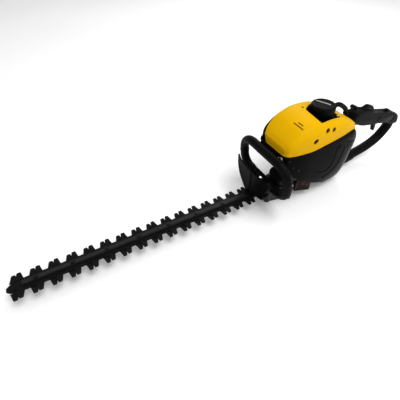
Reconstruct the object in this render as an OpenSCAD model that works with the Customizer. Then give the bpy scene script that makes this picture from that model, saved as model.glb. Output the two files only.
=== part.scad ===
// Double-sided petrol hedge trimmer.
// +X points from the blade tip to the rear handle, +Z up, -Y is the operator's left side.
// The origin is where the drive gear's axis meets the flat base of the gearcase.

/* [Blades] */
// Distance between neighbouring teeth
tooth_pitch = 35; // [30:1:38]
// Number of teeth along each edge
tooth_count = 17; // [12:1:17]
// Reach of a tooth tip from the centre line
tooth_reach = 28.6; // [24:0.2:32]
// Half width of the solid strip in the middle of a blade
strip_half = 13; // [11:0.5:15]
// Thickness of one blade
blade_t = 2.2; // [1.8:0.1:2.4]
// Distance from the drive gear's axis to the last tooth
last_tooth = 70; // [68:1:90]
// Height of the parting plane between the two blades
blade_z = 28; // [28:1:28]
// Crank radius of the eccentrics, half of one blade's stroke
eccentric_r = 8.75; // [6:0.25:8.75]

/* [Drive] */
// Module of the gear pair
gear_module = 1; // [1:0.05:1]
// Teeth on the drive gear
gear_teeth = 44; // [44:1:44]
// Teeth on the pinion
pinion_teeth = 11; // [11:1:11]
// Outer radius of the clutch drum
drum_r = 27.5; // [24:0.5:29]

/* [Engine] */
// Cylinder bore
bore_d = 32; // [28:1:34]
// Piston stroke
stroke = 28; // [24:1:28]
// Height of the cylinder's axis above the base
cylinder_z = 108; // [108:1:108]
// Radius of the cooling fins
fin_r = 32; // [26:1:32]
// Number of cooling fins
fin_count = 8; // [5:1:8]
// Radius of the fan flywheel
flywheel_r = 42; // [36:1:42]

/* [Covers] */
// Greatest half width of the covers
cover_half = 55; // [54:1:58]
// Height of the top of the yellow cover over the engine
cover_top = 224; // [222:1:226]
// Wall of the plastic covers
wall = 3; // [2:0.5:3]
// Diameter of the fuel cap
cap_d = 54.6; // [48:0.2:56]

/* [Handles] */
// Half width of the front handle at its tube's centre line
loop_half = 82; // [78:1:88]
// Height of the front handle's top bar at its centre line
loop_top = 150; // [146:1:154]
// Radius of the front handle's tube
loop_r = 10.5; // [9:0.5:11]
// Radius of the rear handle's tube
rear_r = 12.5; // [11:0.5:13]
// Half width of the throttle housing
grip_half = 15.5; // [15:0.5:19]

/* [Guard] */
// Half width of the hand guard at its top edge
guard_half = 64; // [56:1:70]
// Height of the hand guard's top edge
guard_top = 112; // [104:1:118]

/* [Hidden] */

$fn = 48;
eps = 0.01;
gap = 0.3;
shaft_play = 0.05;

// Gear pair
crank_x = gear_module * (gear_teeth + pinion_teeth) / 2;
gear_z = blade_z + 11.5;
gear_h = 8;

// Blade stack, upward
lower_z = blade_z - 0.15 - blade_t;
upper_z = blade_z + 0.15;
upper_top = upper_z + blade_t;
rest_phase = 38.5;
rest_shift = eccentric_r * sin(rest_phase);
tip_x = -(last_tooth + (tooth_count - 1) * tooth_pitch) - 14;
blade_rear = -31;
link_t = 4;
link_x = -37;
big_end_r = 15;
bolt_r = 2.5;
bolt_x = [for (i = [0 : 7]) -last_tooth - 35 - i * 2 * tooth_pitch];

// Gearcase levels
case_split = blade_z;
nose_top = 44;
case_top = 60;
bearing_r = 9.5;
bearing_bore = 3.5;
bearing_w = 6;
low_bearing_z = 6;
high_bearing_z = 50;

// Clutch and crankcase levels
clutch_z = case_top;
clutch_top = 86;
housing_r = 35;
crankcase_r = 31;
crankcase_top = 130;
crank_throw = stroke / 2;
web_r = 22;
web_h = 6;
web_gap = 8;
rod_length = 52;
pin_x = crank_x + crank_throw;
wrist_x = pin_x + rod_length;
piston_top = wrist_x + 10;
head_x = piston_top + 1.5;
cylinder_end = head_x + 8;

// Fan, starter and cover levels
flywheel_z = 143;
flywheel_h = 16;
starter_r = flywheel_r + 4.5;
starter_z = 141;
starter_top = 186;
rope_z = 168;
rope_r = 1.6;
rope_exit_x = crank_x + starter_r;
grip_dir = 20;
grip_x = 167;
grip_z = 188;
cap_x = 72;
plate_z = 206;
plate_x = [44, 104];
cap_h = 25.5;

// Cover outline from front to rear: x, half width share, top height
cover_stations = [[-52, 0.72, 180], [-46, 0.84, 193], [-34, 0.91, 206],
    [-15, 0.96, 217], [12, 1, cover_top], [38, 1, 222], [72, 1, 213],
    [105, 0.96, 206], [128, 0.89, 198], [148, 0.78, 188], [165, 0.62, 177], [175, 0.46, 171]];
seam_z = 158;
// Shroud outline from front to rear: x, half width share, lowest and highest height
shroud_stations = [[-54, 0.72, 10, 180], [-46, 0.84, 0, 180], [-34, 0.91, 0, 180],
    [-15, 0.96, 0, 180], [15, 1, 0, 180], [96, 1, 0, 182], [125, 0.98, 0, 184],
    [148, 0.94, 0, 180], [165, 0.87, 2, 166], [178, 0.76, 9, 146], [186, 0.6, 22, 124]];
shroud_shoulder = 32;

// Front handle: a leaning loop of bends and straights, with a foot on each side of the gearcase
loop_lean = 9.1;
loop_x = -71;
top_bend = 38;
low_bend = 29;
loop_drop = 87;
loop_foot = [[-57.3, 45, 64], [-54.5, 38.5, 58.5], [-49.5, 34.5, 50], [-44, 32.5, 41.5],
    [-42, 29.6, 37], [-42, 25.8, 37]];
foot_radii = [10.3, 9.6, 8.5, 7.4, 6.7, 6.5];
brace_x = -58.7;
brace_z = 73;
// Rear handle route, in x, z
rear_route = [[57, 18], [90, 18], [140, 18], [190, 18], [235, 21], [273, 28], [306, 35],
    [331, 44], [352, 57], [365, 73], [373, 89], [374, 103.8]];

// A tube swept along a route of points, with one radius or one for each point
function ring_frame(d, side) = let (t = d / norm(d), u = cross(t, side) / norm(cross(t, side)))
    [u, cross(t, u)];
function route_dir(p, i) = p[min(i + 1, len(p) - 1)] - p[max(i - 1, 0)];
module swept_tube(p, r, sides, side) {
    rings = [for (i = [0 : len(p) - 1]) let (f = ring_frame(route_dir(p, i), side))
        for (k = [0 : sides - 1])
            p[i] + (is_list(r) ? r[i] : r)
                * (f[0] * cos(360 * k / sides) + f[1] * sin(360 * k / sides))];
    sides_faces = [for (i = [0 : len(p) - 2], k = [0 : sides - 1])
        [(i + 1) * sides + k, (i + 1) * sides + (k + 1) % sides,
         i * sides + (k + 1) % sides, i * sides + k]];
    first = [for (k = [0 : sides - 1]) k];
    last = [for (k = [0 : sides - 1]) len(p) * sides - 1 - k];
    polyhedron(rings, concat(sides_faces, [first, last]));
}

// A smooth curve through a list of points
function spline_point(a, b, c, d, t) = 0.5 * (2 * b + (c - a) * t
    + (2 * a - 5 * b + 4 * c - d) * t * t + (3 * b - a - 3 * c + d) * t * t * t);
function smooth_route(p, n) = [for (i = [0 : len(p) - 2], k = [0 : n - 1])
    spline_point(p[max(i - 1, 0)], p[i], p[i + 1], p[min(i + 2, len(p) - 1)], k / n),
    p[len(p) - 1]];

// A closed body lofted along X through rounded sections
// Each section is [x, half width, lowest z, mid z, highest z]
function rounded(t, w, h, e) = [w * sign(cos(t)) * pow(abs(cos(t)), 2 / e),
    h * sign(sin(t)) * pow(abs(sin(t)), 2 / e)];
function section_ring(s, n, e_low, e_high) = [for (k = [0 : n - 1]) let (t = 360 * k / n,
    up = t <= 180, q = rounded(t, s[1], up ? s[4] - s[3] : s[3] - s[2], up ? e_high : e_low))
    [s[0], q[0], s[3] + q[1]]];
module loft(sections, e_low, e_high, n = 40) {
    points = [for (s = sections) each section_ring(s, n, e_low, e_high)];
    walls = [for (i = [0 : len(sections) - 2], k = [0 : n - 1])
        [i * n + k, (i + 1) * n + k, (i + 1) * n + (k + 1) % n, i * n + (k + 1) % n]];
    first = [for (k = [0 : n - 1]) k];
    last = [for (k = [0 : n - 1]) (len(sections) - 1) * n + n - 1 - k];
    polyhedron(points, concat(walls, [first, last]));
}

module at_z(z) { translate([0, 0, z]) children(); }
module ring(r_out, r_in, h) {
    difference() {
        cylinder(r = r_out, h = h);
        translate([0, 0, -eps]) cylinder(r = r_in, h = h + 2 * eps);
    }
}
module along_x(r, h) { rotate([0, 90, 0]) cylinder(r = r, h = h); }
module along_y(r, h) { rotate([-90, 0, 0]) cylinder(r = r, h = h); }
module box(x, y, z) {
    translate([x[0], y[0], z[0]]) cube([x[1] - x[0], y[1] - y[0], z[1] - z[0]]);
}

// ---- Gearcase ----
module case_outline(r_gear, r_pinion, nose, inset) {
    circle(r = r_gear);
    translate([crank_x, 0]) circle(r = r_pinion);
    polygon([[-56 + inset, -nose], [-56 + inset, nose], [-4, r_gear - 0.4],
        [crank_x, r_pinion - 0.2], [crank_x, 0.2 - r_pinion], [-4, 0.4 - r_gear]]);
}
nose_screws = [[-49, 20], [-49, -20]];
ear_screws = [[8, 35.5], [8, -35.5], [51.5, 9], [51.5, -9]];
screw_spots = concat(nose_screws, ear_screws);

module screw_ears() {
    for (p = screw_spots) translate(p) {
        circle(r = 5);
        rotate(atan2(-p[1], crank_x / 2 - p[0])) translate([0, -5]) square([12, 10]);
    }
}

module gearcase_lower() {
    color("dimgray") difference() {
        linear_extrude(case_split) {
            case_outline(31, 20, 21, 0);
            screw_ears();
        }
        at_z(4) linear_extrude(case_split) case_outline(28, 10.5, 15, 3.6);
        box([-57, -45], [-15, 15], [24.6, 30]);
        box([-57, -51.8], [-26, 26], [24.6, 30]);
        for (p = screw_spots) translate([p[0], p[1], 12]) cylinder(r = 2.2, h = 20);
    }
    color("dimgray") at_z(4) ring(12.5, bearing_r, 8);
}

module gearcase_cover() {
    color("gray") difference() {
        union() {
            at_z(case_split) linear_extrude(nose_top - case_split) {
                case_outline(31, 20, 21, 0);
                screw_ears();
            }
            at_z(nose_top - eps) linear_extrude(case_top - nose_top + eps) {
                circle(r = 31);
                translate([crank_x, 0]) circle(r = 20);
            }
            translate([crank_x, 0, case_top - 5]) cylinder(r = housing_r, h = 5);
            for (s = [-1, 1]) translate([-42, s * 20, 37]) rotate([-90 * s, 0, 0])
                cylinder(r = 6.5, h = 5.5);
        }
        at_z(case_split - eps) linear_extrude(36.6 - case_split) case_outline(28, 10.5, 15, 3.6);
        at_z(case_split - eps) linear_extrude(high_bearing_z - 1 - case_split) {
            circle(r = 28);
            translate([crank_x, 0]) circle(r = 9);
        }
        at_z(high_bearing_z - 2) cylinder(r = bearing_r, h = bearing_w + 2);
        translate([crank_x, 0, high_bearing_z - 2]) cylinder(r = bearing_r, h = bearing_w + 2);
        translate([crank_x, 0, 40]) cylinder(r = 6, h = 30);
        box([-57, -45], [-15, 15], [27, 31]);
        box([-57, -51.8], [-26, 26], [27, 31]);
        box([-57, -52], [-7.1, 7.1], [27, 35.6]);
        for (p = screw_spots) translate([p[0], p[1], 20]) cylinder(r = 2.2, h = 42);
        for (s = [-1, 1]) translate([-42, s * 14, 37]) rotate([-90 * s, 0, 0])
            cylinder(r = 3, h = 14);
    }
}

module gearcase_screws() {
    color("silver") for (p = screw_spots) {
        head_z = p[0] < 0 ? nose_top + 3 : nose_top;
        translate([p[0], p[1], head_z]) cylinder(r = 4, h = 4);
        translate([p[0], p[1], 14]) cylinder(r = 2.1, h = head_z - 14);
    }
}

module gearcase_bearings() {
    color("lightsteelblue") {
        at_z(low_bearing_z) ring(bearing_r, bearing_bore, bearing_w);
        at_z(high_bearing_z) ring(bearing_r, bearing_bore, bearing_w);
        translate([crank_x, 0, high_bearing_z]) ring(bearing_r, bearing_bore, bearing_w);
    }
}

// ---- Gear train ----
module spur_outline(teeth, clearance) {
    pitch_r = gear_module * teeth / 2;
    root = pitch_r - 1.25 * gear_module;
    step = 360 / teeth;
    circle(r = root);
    for (i = [0 : teeth - 1]) rotate(i * step) polygon([
        [root - 0.5, -gear_module * 1.0], [pitch_r, -gear_module * (0.72 - clearance)],
        [pitch_r + gear_module, -gear_module * 0.36], [pitch_r + gear_module, gear_module * 0.36],
        [pitch_r, gear_module * (0.72 - clearance)], [root - 0.5, gear_module * 1.0]]);
}

module drive_gear() {
    color("goldenrod") at_z(gear_z) difference() {
        linear_extrude(gear_h) difference() {
            spur_outline(gear_teeth, 0.06);
            circle(r = 5);
        }
        for (k = [0 : 5]) rotate(60 * k) translate([13.5, 0, -1]) cylinder(r = 3.5, h = 12);
    }
}

module eccentric_shaft() {
    color("silver") {
        at_z(low_bearing_z) cylinder(r = bearing_bore - shaft_play, h = bearing_w);
        at_z(low_bearing_z + bearing_w) cylinder(r = 5, h = high_bearing_z - bearing_w - low_bearing_z);
        at_z(high_bearing_z) cylinder(r = bearing_bore - shaft_play, h = bearing_w - 0.5);
        rotate(90 - rest_phase) translate([eccentric_r, 0, lower_z - link_t - gap - 4])
            cylinder(r = big_end_r, h = 4);
        rotate(270 - rest_phase) translate([eccentric_r, 0, upper_top + link_t + gap])
            cylinder(r = big_end_r, h = 4);
    }
}

module pinion_shaft() {
    color("silver") translate([crank_x, 0, 0]) {
        at_z(gear_z - 0.3) linear_extrude(gear_h + 1) spur_outline(pinion_teeth, 0.06);
        at_z(gear_z + gear_h) cylinder(r = bearing_bore - shaft_play, h = 65 - gear_z - gear_h);
        at_z(57.5) cylinder(r = 5, h = 5);
    }
}

// ---- Clutch ----
module clutch_drum() {
    color("slategray") translate([crank_x, 0, 62.5]) {
        ring(drum_r, bearing_bore - shaft_play, 2.5);
        ring(drum_r, drum_r - 2, 18);
    }
}

module clutch_hub() {
    color("dimgray") translate([crank_x, 0, 67]) ring(9, 5, 12);
}

module clutch_shoes() {
    color("saddlebrown") translate([crank_x, 0, 67]) difference() {
        ring(drum_r - 3, 9.6, 11);
        for (a = [0, 90]) rotate(a) translate([-40, -1.5, -1]) cube([80, 3, 14]);
        at_z(8.5) rotate_extrude() translate([16, 0]) square([4, 5]);
    }
}

module clutch_spring() {
    color("silver") translate([crank_x, 0, 77]) rotate_extrude()
        translate([18, 0]) circle(r = 1.4);
}

module clutch_housing() {
    color("gray") translate([crank_x, 0, clutch_z]) difference() {
        union() {
            cylinder(r = housing_r, h = clutch_top - clutch_z);
            for (a = [45, 135, 225, 315]) rotate(a) translate([housing_r - 0.5, 0, 1])
                cylinder(r = 5.5, h = clutch_top - clutch_z - 2);
        }
        at_z(-1) cylinder(r = housing_r - 4, h = clutch_top - clutch_z - 3);
        cylinder(r = 13, h = 40);
    }
}

// ---- Blades ----
module tooth(side) {
    scale([1, side]) polygon([[-8.5, strip_half - 1], [-7, strip_half + 1.5],
        [-3.9, tooth_reach - 1.5], [-3, tooth_reach], [3, tooth_reach],
        [3.9, tooth_reach - 1.5], [7, strip_half + 1.5], [8.5, strip_half - 1]]);
}

module blade_plate(shift) {
    translate([shift, 0]) difference() {
        union() {
            polygon([[tip_x + 5, -strip_half + 5], [tip_x, -4], [tip_x, 4],
                [tip_x + 5, strip_half - 5], [tip_x + 14, strip_half], [blade_rear, strip_half],
                [blade_rear, -strip_half], [tip_x + 14, -strip_half]]);
            for (i = [0 : tooth_count - 1], s = [-1, 1])
                translate([-last_tooth - i * tooth_pitch, 0]) tooth(s);
        }
        for (x = bolt_x) translate([x, 0]) {
            half = eccentric_r + 0.4;
            translate([-half, -bolt_r - 0.3]) square([2 * half, 2 * bolt_r + 0.6]);
            for (s = [-half, half]) translate([s, 0]) circle(r = bolt_r + 0.3);
        }
        translate([link_x, 0]) circle(r = 3);
    }
}

module blade_upper() {
    color("#1c1d20") at_z(upper_z) linear_extrude(blade_t) blade_plate(rest_shift);
}

module blade_lower() {
    color("#26272a") at_z(lower_z) linear_extrude(blade_t) blade_plate(-rest_shift);
}

module link_plate() {
    difference() {
        union() {
            circle(r = big_end_r + 5);
            translate([link_x, 0]) circle(r = 6);
            translate([link_x, -5]) square([20, 10]);
        }
        circle(r = big_end_r + 0.3);
    }
}

module link_upper() {
    color("silver") translate([rest_shift, 0, 0]) {
        at_z(upper_top) linear_extrude(link_t) link_plate();
        translate([link_x, 0, upper_z]) cylinder(r = 3, h = blade_t + 1);
    }
}

module link_lower() {
    color("silver") translate([-rest_shift, 0, 0]) {
        at_z(lower_z - link_t) linear_extrude(link_t) link_plate();
        translate([link_x, 0, lower_z - 1]) cylinder(r = 3, h = blade_t + 1);
    }
}

module guide_bar() {
    color("#2b2c30") difference() {
        at_z(upper_top + gap) linear_extrude(35.6 - upper_top - gap)
            polygon([[tip_x + 26, -5], [tip_x + 24, -3], [tip_x + 24, 3], [tip_x + 26, 5],
                [-58, 7], [-52.2, 7], [-52.2, -7], [-58, -7]]);
        for (x = bolt_x) translate([x, 0, 20]) cylinder(r = bolt_r, h = 20);
    }
}

module guide_bar_bolts() {
    color("dimgray") for (x = bolt_x) translate([x, 0, 0]) {
        at_z(lower_z - 4.5) cylinder(r = 5, h = 4.2);
        at_z(lower_z - 0.5) cylinder(r = bolt_r, h = 36 - lower_z);
        at_z(35.6) cylinder(r = 4.6, h = 3, $fn = 6);
    }
}

// ---- Guard and front handle ----
module guard_half_outline() {
    polygon([[0, 41], [13, 41], [30, 54], [44, 66], [54, 80], [60, 95],
        [guard_half, guard_top - 6], [guard_half - 5, guard_top], [0, guard_top]]);
}

module hand_guard() {
    color("#3a3b3f") difference() {
        union() {
            for (s = [-1, 1]) translate([-101, 0, 0]) rotate([0, 0, -6 * s]) scale([1, s, 1])
                rotate([90, 0, 90]) linear_extrude(3) guard_half_outline();
            box([-100, -60], [-12, 12], [nose_top, nose_top + 3]);
            box([-62, -40], [-25, 25], [nose_top, nose_top + 3]);
            for (y = [-11, 8]) translate([0, y, nose_top + 2]) rotate([-90, 0, 0])
                linear_extrude(3) polygon([[-99, 0], [-60, 0], [-99, -38]]);
            translate([brace_x, -36, brace_z]) along_y(5, 72);
            for (y = [-24, 21]) box([brace_x - 3.5, brace_x + 3.5], [y, y + 3], [nose_top, brace_z]);
        }
        for (p = nose_screws) translate([p[0], p[1], 30]) cylinder(r = 2.2, h = 30);
    }
}

// The half of the loop on one side, from the top bar down to the foot
function loop_plane(y, drop) = [loop_x + drop * sin(loop_lean), y, loop_top - drop * cos(loop_lean)];
function half_loop() = concat([loop_plane(20, 0)],
    [for (a = [90 : -15 : 0]) loop_plane(loop_half - top_bend * (1 - cos(a)),
        top_bend * (1 - sin(a)))],
    [for (a = [0 : -15 : -90]) loop_plane(loop_half - low_bend * (1 - cos(a)),
        loop_drop - low_bend * (1 + sin(a)))],
    loop_foot);
function loop_radii(n) = [for (i = [0 : n - 1]) i < n - len(foot_radii) ? loop_r
    : foot_radii[i - n + len(foot_radii)]];
function backward(list) = [for (i = [len(list) - 1 : -1 : 0]) list[i]];

module front_handle() {
    half = half_loop();
    radii = loop_radii(len(half));
    other = [for (q = half) [q[0], -q[1], q[2]]];
    color("#202124")
        swept_tube(concat(backward(half), other), concat(backward(radii), radii), 14, [1, 0, 0]);
}

module handle_bolts() {
    color("silver") for (s = [-1, 1]) translate([-42, s * 15, 37]) rotate([-90 * s, 0, 0])
        cylinder(r = 2.9, h = 10.5);
}

// ---- Crankcase, crank and cylinder ----
module crankcase_half(z, h) {
    difference() {
        union() {
            translate([crank_x, 0, z]) cylinder(r = crankcase_r, h = h);
            box([crank_x, 60], [-24, 24], [z, z + h]);
        }
        translate([crank_x, 0, 96]) cylinder(r = 27, h = 24);
        translate([crank_x, 0, 88]) cylinder(r = 13, h = 40);
        translate([crank_x, 0, 80]) cylinder(r = 6, h = 60);
        translate([40, 0, cylinder_z]) along_x(19, 30);
    }
}

module crankcase_lower() {
    color("#4a4c50") crankcase_half(clutch_top, cylinder_z - clutch_top);
}

module crankcase_upper() {
    color("#4a4c50") crankcase_half(cylinder_z, crankcase_top - cylinder_z);
}

module crank_bearings() {
    color("lightsteelblue") translate([crank_x, 0, 0]) {
        at_z(88) ring(13, 5, 8);
        at_z(120) ring(13, 5, 8);
    }
}

module crank_web() {
    difference() {
        cylinder(r = web_r, h = web_h);
        translate([crank_throw, 0, -1]) cylinder(r = 5.4, h = web_h + 2);
    }
}

module crank_lower() {
    color("silver") translate([crank_x, 0, 0]) {
        at_z(66) cylinder(r = 5 - shaft_play, h = cylinder_z - web_gap / 2 - web_h - 66 + eps);
        at_z(cylinder_z - web_gap / 2 - web_h) crank_web();
    }
}

module crank_upper() {
    color("silver") translate([crank_x, 0, 0]) {
        at_z(cylinder_z + web_gap / 2) crank_web();
        at_z(cylinder_z + web_gap / 2 + web_h - eps) cylinder(r = 5 - shaft_play, h = 39);
    }
}

module crank_pin() {
    color("silver") translate([pin_x, 0, cylinder_z - 3.7]) cylinder(r = 5, h = 7.4);
}

module connecting_rod() {
    color("lightgray") at_z(cylinder_z - 3) linear_extrude(6) difference() {
        union() {
            translate([pin_x, 0]) circle(r = 8);
            translate([wrist_x, 0]) circle(r = 6.5);
            translate([pin_x + 4, -3.5]) square([rod_length - 8, 7]);
        }
        translate([pin_x, 0]) circle(r = 5);
        translate([wrist_x, 0]) circle(r = 4);
    }
}

module wrist_pin() {
    color("silver") translate([wrist_x, 0, cylinder_z - 14]) cylinder(r = 4, h = 28);
}

module piston() {
    skirt = piston_top - 20;
    color("gainsboro") difference() {
        translate([skirt, 0, cylinder_z]) along_x(bore_d / 2 - shaft_play, 20);
        translate([skirt - 1, 0, cylinder_z]) along_x(bore_d / 2 - 3, 18);
        translate([wrist_x, 0, cylinder_z - 20]) cylinder(r = 4, h = 40);
    }
}

module cylinder_barrel() {
    translate([52, 0, 0]) along_x(19, 10);
    translate([60, 0, 0]) along_x(19.5, cylinder_end - 60);
    box([60, 64], [-24, 24], [-22, 22]);
    for (i = [0 : fin_count - 1]) translate([68 + i * 6, 0, 0]) along_x(fin_r, 2);
    box([78, 98], [-30, -12], [-36, -10]);
    box([76, 98], [12, 38], [-10, 10]);
}

module cylinder_node() {
    color("#6b6d70") translate([0, 0, cylinder_z]) difference() {
        cylinder_barrel();
        translate([50, 0, 0]) along_x(bore_d / 2, head_x - 50);
        translate([head_x - 1, 0, 0]) along_x(4.8, 20);
        translate([88, 10, 0]) along_y(6, 30);
        translate([88, -21, -40]) cylinder(r = 6, h = 32);
    }
}

module spark_plug() {
    color("white") translate([0, 0, cylinder_z]) {
        translate([head_x + 1, 0, 0]) along_x(4.8, cylinder_end - head_x - 1);
        translate([cylinder_end, 0, 0]) rotate([0, 90, 0]) cylinder(r = 8, h = 7, $fn = 6);
        translate([cylinder_end + 7, 0, 0]) along_x(4.5, 16);
    }
}

module plug_boot() {
    color("#151515") translate([cylinder_end + 14, 0, cylinder_z]) difference() {
        union() {
            along_x(8, 18);
            translate([9, 0, 0]) cylinder(r = 5, h = 18);
        }
        translate([-1, 0, 0]) along_x(4.5, 10);
    }
}

module ignition_coil() {
    color("#222222") {
        box([crank_x + flywheel_r + 1, crank_x + flywheel_r + 6], [-12, 12], [144, 150]);
        box([crank_x + flywheel_r + 6, crank_x + flywheel_r + 18], [-14, 14], [143.5, 160]);
    }
}

module ignition_lead() {
    coil_end = crank_x + flywheel_r + 18;
    boot_x = cylinder_end + 23;
    route = [[coil_end + 0.5, 11, 146], [coil_end + 4, 11.5, 146], [coil_end + 9, 18, 146],
        [coil_end + 14, 30, 142], [coil_end + 26, 34, 136], [boot_x - 5, 26, 132], [boot_x, 12, 131.5],
        [boot_x, 2, 131], [boot_x, 0, cylinder_z + 18.4]];
    color("#101010") swept_tube(smooth_route(route, 3), 2.5, 8, [0, 0, 1]);
}

// ---- Fan and starter ----
module flywheel() {
    color("lightslategray") translate([crank_x, 0, flywheel_z]) {
        ring(flywheel_r, 5, 3);
        at_z(3 - eps) ring(9, 5, 9);
        for (a = [0 : 24 : 359]) rotate(a) translate([22, -1, 2.9])
            cube([flywheel_r - 23, 2, flywheel_h - 3]);
    }
}

module starter_pulley() {
    color("#2a2a2a") translate([crank_x, 0, rope_z - 4.5]) difference() {
        cylinder(r = 20, h = 9);
        at_z(2.5) ring(21, 16, 4);
        at_z(-1) cylinder(r = 5 + shaft_play, h = 12);
    }
}

module starter_housing() {
    color("#1b1b1d") translate([crank_x, 0, 0]) {
        difference() {
            at_z(starter_z) cylinder(r = starter_r, h = starter_top - starter_z);
            at_z(starter_z - 1) cylinder(r = starter_r - 2.5, h = starter_top - starter_z - 2);
            box([20, 60], [-24, 24], [140, 161.5]);
            translate([20, 0, rope_z]) along_x(2.4, 40);
            for (a = [60 : 30 : 300]) rotate(a) translate([22, -3, starter_top - 6])
                cube([16, 6, 10]);
        }
        at_z(rope_z - 4.5) cylinder(r = 5, h = starter_top - rope_z + 2);
    }
}

module starter_rope() {
    route = [[rope_exit_x - 24, 0, rope_z], [rope_exit_x - 8, 0, rope_z],
        [rope_exit_x + 4, 0, rope_z]];
    color("#303030") swept_tube(smooth_route(route, 2), rope_r, 8, [0, 1, 0]);
}

module starter_grip() {
    color("#141414") translate([grip_x, 0, grip_z]) rotate([0, -grip_dir, 0]) {
        along_x(4.5, 20);
        translate([20, -10, 0]) along_y(5, 20);
    }
}

// ---- Exhaust and intake ----
module muffler() {
    color("#5a5552") difference() {
        box([67, 122], [-40, -15], [31, 72]);
        translate([88, -21, 60]) cylinder(r = 6, h = 20);
    }
}

module exhaust_guard() {
    color("#8a7468") translate([43, -36, 18]) rotate(-18) difference() {
        box([-20, 20], [-7, 6], [0, 36]);
        box([-17, 17], [-4.5, 8], [3, 33]);
    }
}

module carburettor() {
    color("darkgray") difference() {
        union() {
            box([75, 101], [38, 64], [94, 124]);
            box([62, 116], [64, 67], [80, 138]);
            box([99, 112], [48, 52], [112, 122]);
        }
        translate([88, 36, cylinder_z]) along_y(6, 34);
        translate([95.5, 50, 103]) along_x(8.5, 10);
        translate([108, 40, 117]) along_y(2.05, 20);
    }
}

module air_filter() {
    color("#3d3d3a") box([66, 112], [67.5, 84], [84, 134]);
}

module air_filter_cover() {
    color("#18181a") difference() {
        loft_box([62, 116], [67, 92], [80, 138], 8);
        box([64.5, 113.5], [60, 86], [82.5, 135.5]);
    }
}
module loft_box(x, y, z, r) {
    translate([0, y[0], 0]) rotate([-90, 0, 0]) linear_extrude(y[1] - y[0]) {
        translate([x[0] + r, -z[1]]) square([x[1] - x[0] - 2 * r, z[1] - z[0]]);
        translate([x[0], -z[1] + r]) square([x[1] - x[0], z[1] - z[0] - 2 * r]);
        for (a = [x[0] + r, x[1] - r], b = [-z[1] + r, -z[0] - r]) translate([a, b]) circle(r = r);
    }
}

module choke_lever() {
    color("red") translate([108, 0, 117]) {
        translate([0, 43, 0]) along_y(2, 12);
        translate([0, 53.5, 0]) along_y(4.5, 3);
        rotate([0, 40, 0]) box([-2.5, 2.5], [53.8, 56.2], [0, 24]);
        rotate([0, 40, 0]) box([-4, 4], [53.2, 62], [22, 28]);
    }
}

module primer_bulb() {
    color("#d9d2c0") translate([101.2, 50, 103]) rotate([0, 90, 0]) intersection() {
        sphere(r = 8);
        at_z(-1) cylinder(r = 8.2, h = 9);
    }
}

// ---- Fuel ----
module fuel_tank() {
    neck_r = 16;
    color("#e8e4d8") difference() {
        union() {
            box([93, 143], [-27, 27], [149.5, 168]);
            box([93, 128], [-38, 38], [149.5, 164]);
            box([50, 112], [-24, 24], [188, 200]);
            box([93, 112], [7, 24], [167, 189]);
            translate([cap_x, 0, 199]) cylinder(r = neck_r, h = 14.5);
        }
        box([95.5, 140.5], [-24.5, 24.5], [148.5, 165.5]);
        box([95.5, 125.5], [-35.5, 35.5], [148.5, 161.5]);
        box([52.5, 109.5], [-21.5, 21.5], [190.5, 197.5]);
        box([95.5, 109.5], [9.5, 21.5], [165, 191]);
        translate([cap_x, 0, 196]) cylinder(r = neck_r - 3, h = 30);
    }
}

module cap_plate() {
    color("#1c1c1e") difference() {
        box(plate_x, [-28.2, 28.2], [plate_z - 3, plate_z]);
        translate([cap_x, 0, 190]) cylinder(r = 16.5, h = 40);
    }
}

module fuel_cap() {
    color("#101012") translate([cap_x, 0, plate_z + 1]) difference() {
        union() {
            cylinder(r = cap_d / 2 - 1, h = cap_h);
            for (a = [0 : 15 : 359]) rotate(a) translate([cap_d / 2 - 1.5, 0, 0])
                cylinder(r = 1.5, h = cap_h - 2);
        }
        at_z(-1) cylinder(r = 16.3, h = 8);
    }
}

// ---- Covers ----
// Rows of sections with the first and last ones moved inward by the inset
function end_shift(i, n, inset) = i == 0 ? inset : i == n - 1 ? -inset : 0;
module cover_body(inset) {
    n = len(cover_stations);
    loft([for (i = [0 : n - 1]) let (s = cover_stations[i])
        [s[0] + end_shift(i, n, inset), cover_half * s[1] - inset, 100, seam_z, s[2] - inset]],
        4, 6);
}
module shroud_body(inset) {
    n = len(shroud_stations);
    loft([for (i = [0 : n - 1]) let (s = shroud_stations[i])
        [s[0] + end_shift(i, n, inset), cover_half * s[1] - inset, s[2] + inset,
         s[3] - shroud_shoulder, s[3] - inset]], 4.6, 3.6);
}
module neck_window() {
    box([166, 200], [-grip_half - 0.4, grip_half + 0.4], [146.6, 162.4]);
}
// Side view of the seam between the yellow cover and the black shrouds
module above_seam() {
    translate([0, 80, 0]) rotate([90, 0, 0]) linear_extrude(160)
        polygon([[-60, 161], [15, 157], [75, 164], [120, 171], [142, 172], [158, 163],
            [200, 155], [200, 260], [-60, 260]]);
}
// Side view of the shrouds, cut away over the gearcase and the exhaust
module shroud_region() {
    translate([0, 80, 0]) rotate([90, 0, 0]) linear_extrude(160)
        polygon([[-54, 160.6], [-54, 150], [-46, 126], [-25, 98], [12, 72], [31, 64], [53, 48],
            [74, 38], [93, 30], [110, 18], [126, 6], [128, -1], [200, -1], [200, 154.6],
            [158, 162.6], [142, 171.6], [120, 170.6], [75, 163.6], [15, 156.6]]);
}

module top_cover() {
    color("gold") difference() {
        intersection() {
            cover_body(0);
            above_seam();
        }
        cover_body(wall);
        box([plate_x[0] - 0.5, plate_x[1] + 0.5], [-28.7, 28.7], [195, 250]);
        neck_window();
        translate([grip_x - 14, 0, grip_z - 12]) rotate([0, 60, 0]) cylinder(r = 6, h = 24);
    }
}

module shroud_half(side) {
    difference() {
        intersection() {
            shroud_body(0);
            shroud_region();
            box([-60, 200], side < 0 ? [-70, -0.1] : [0.1, 70], [-5, 200]);
        }
        shroud_body(wall);
    }
}

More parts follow.
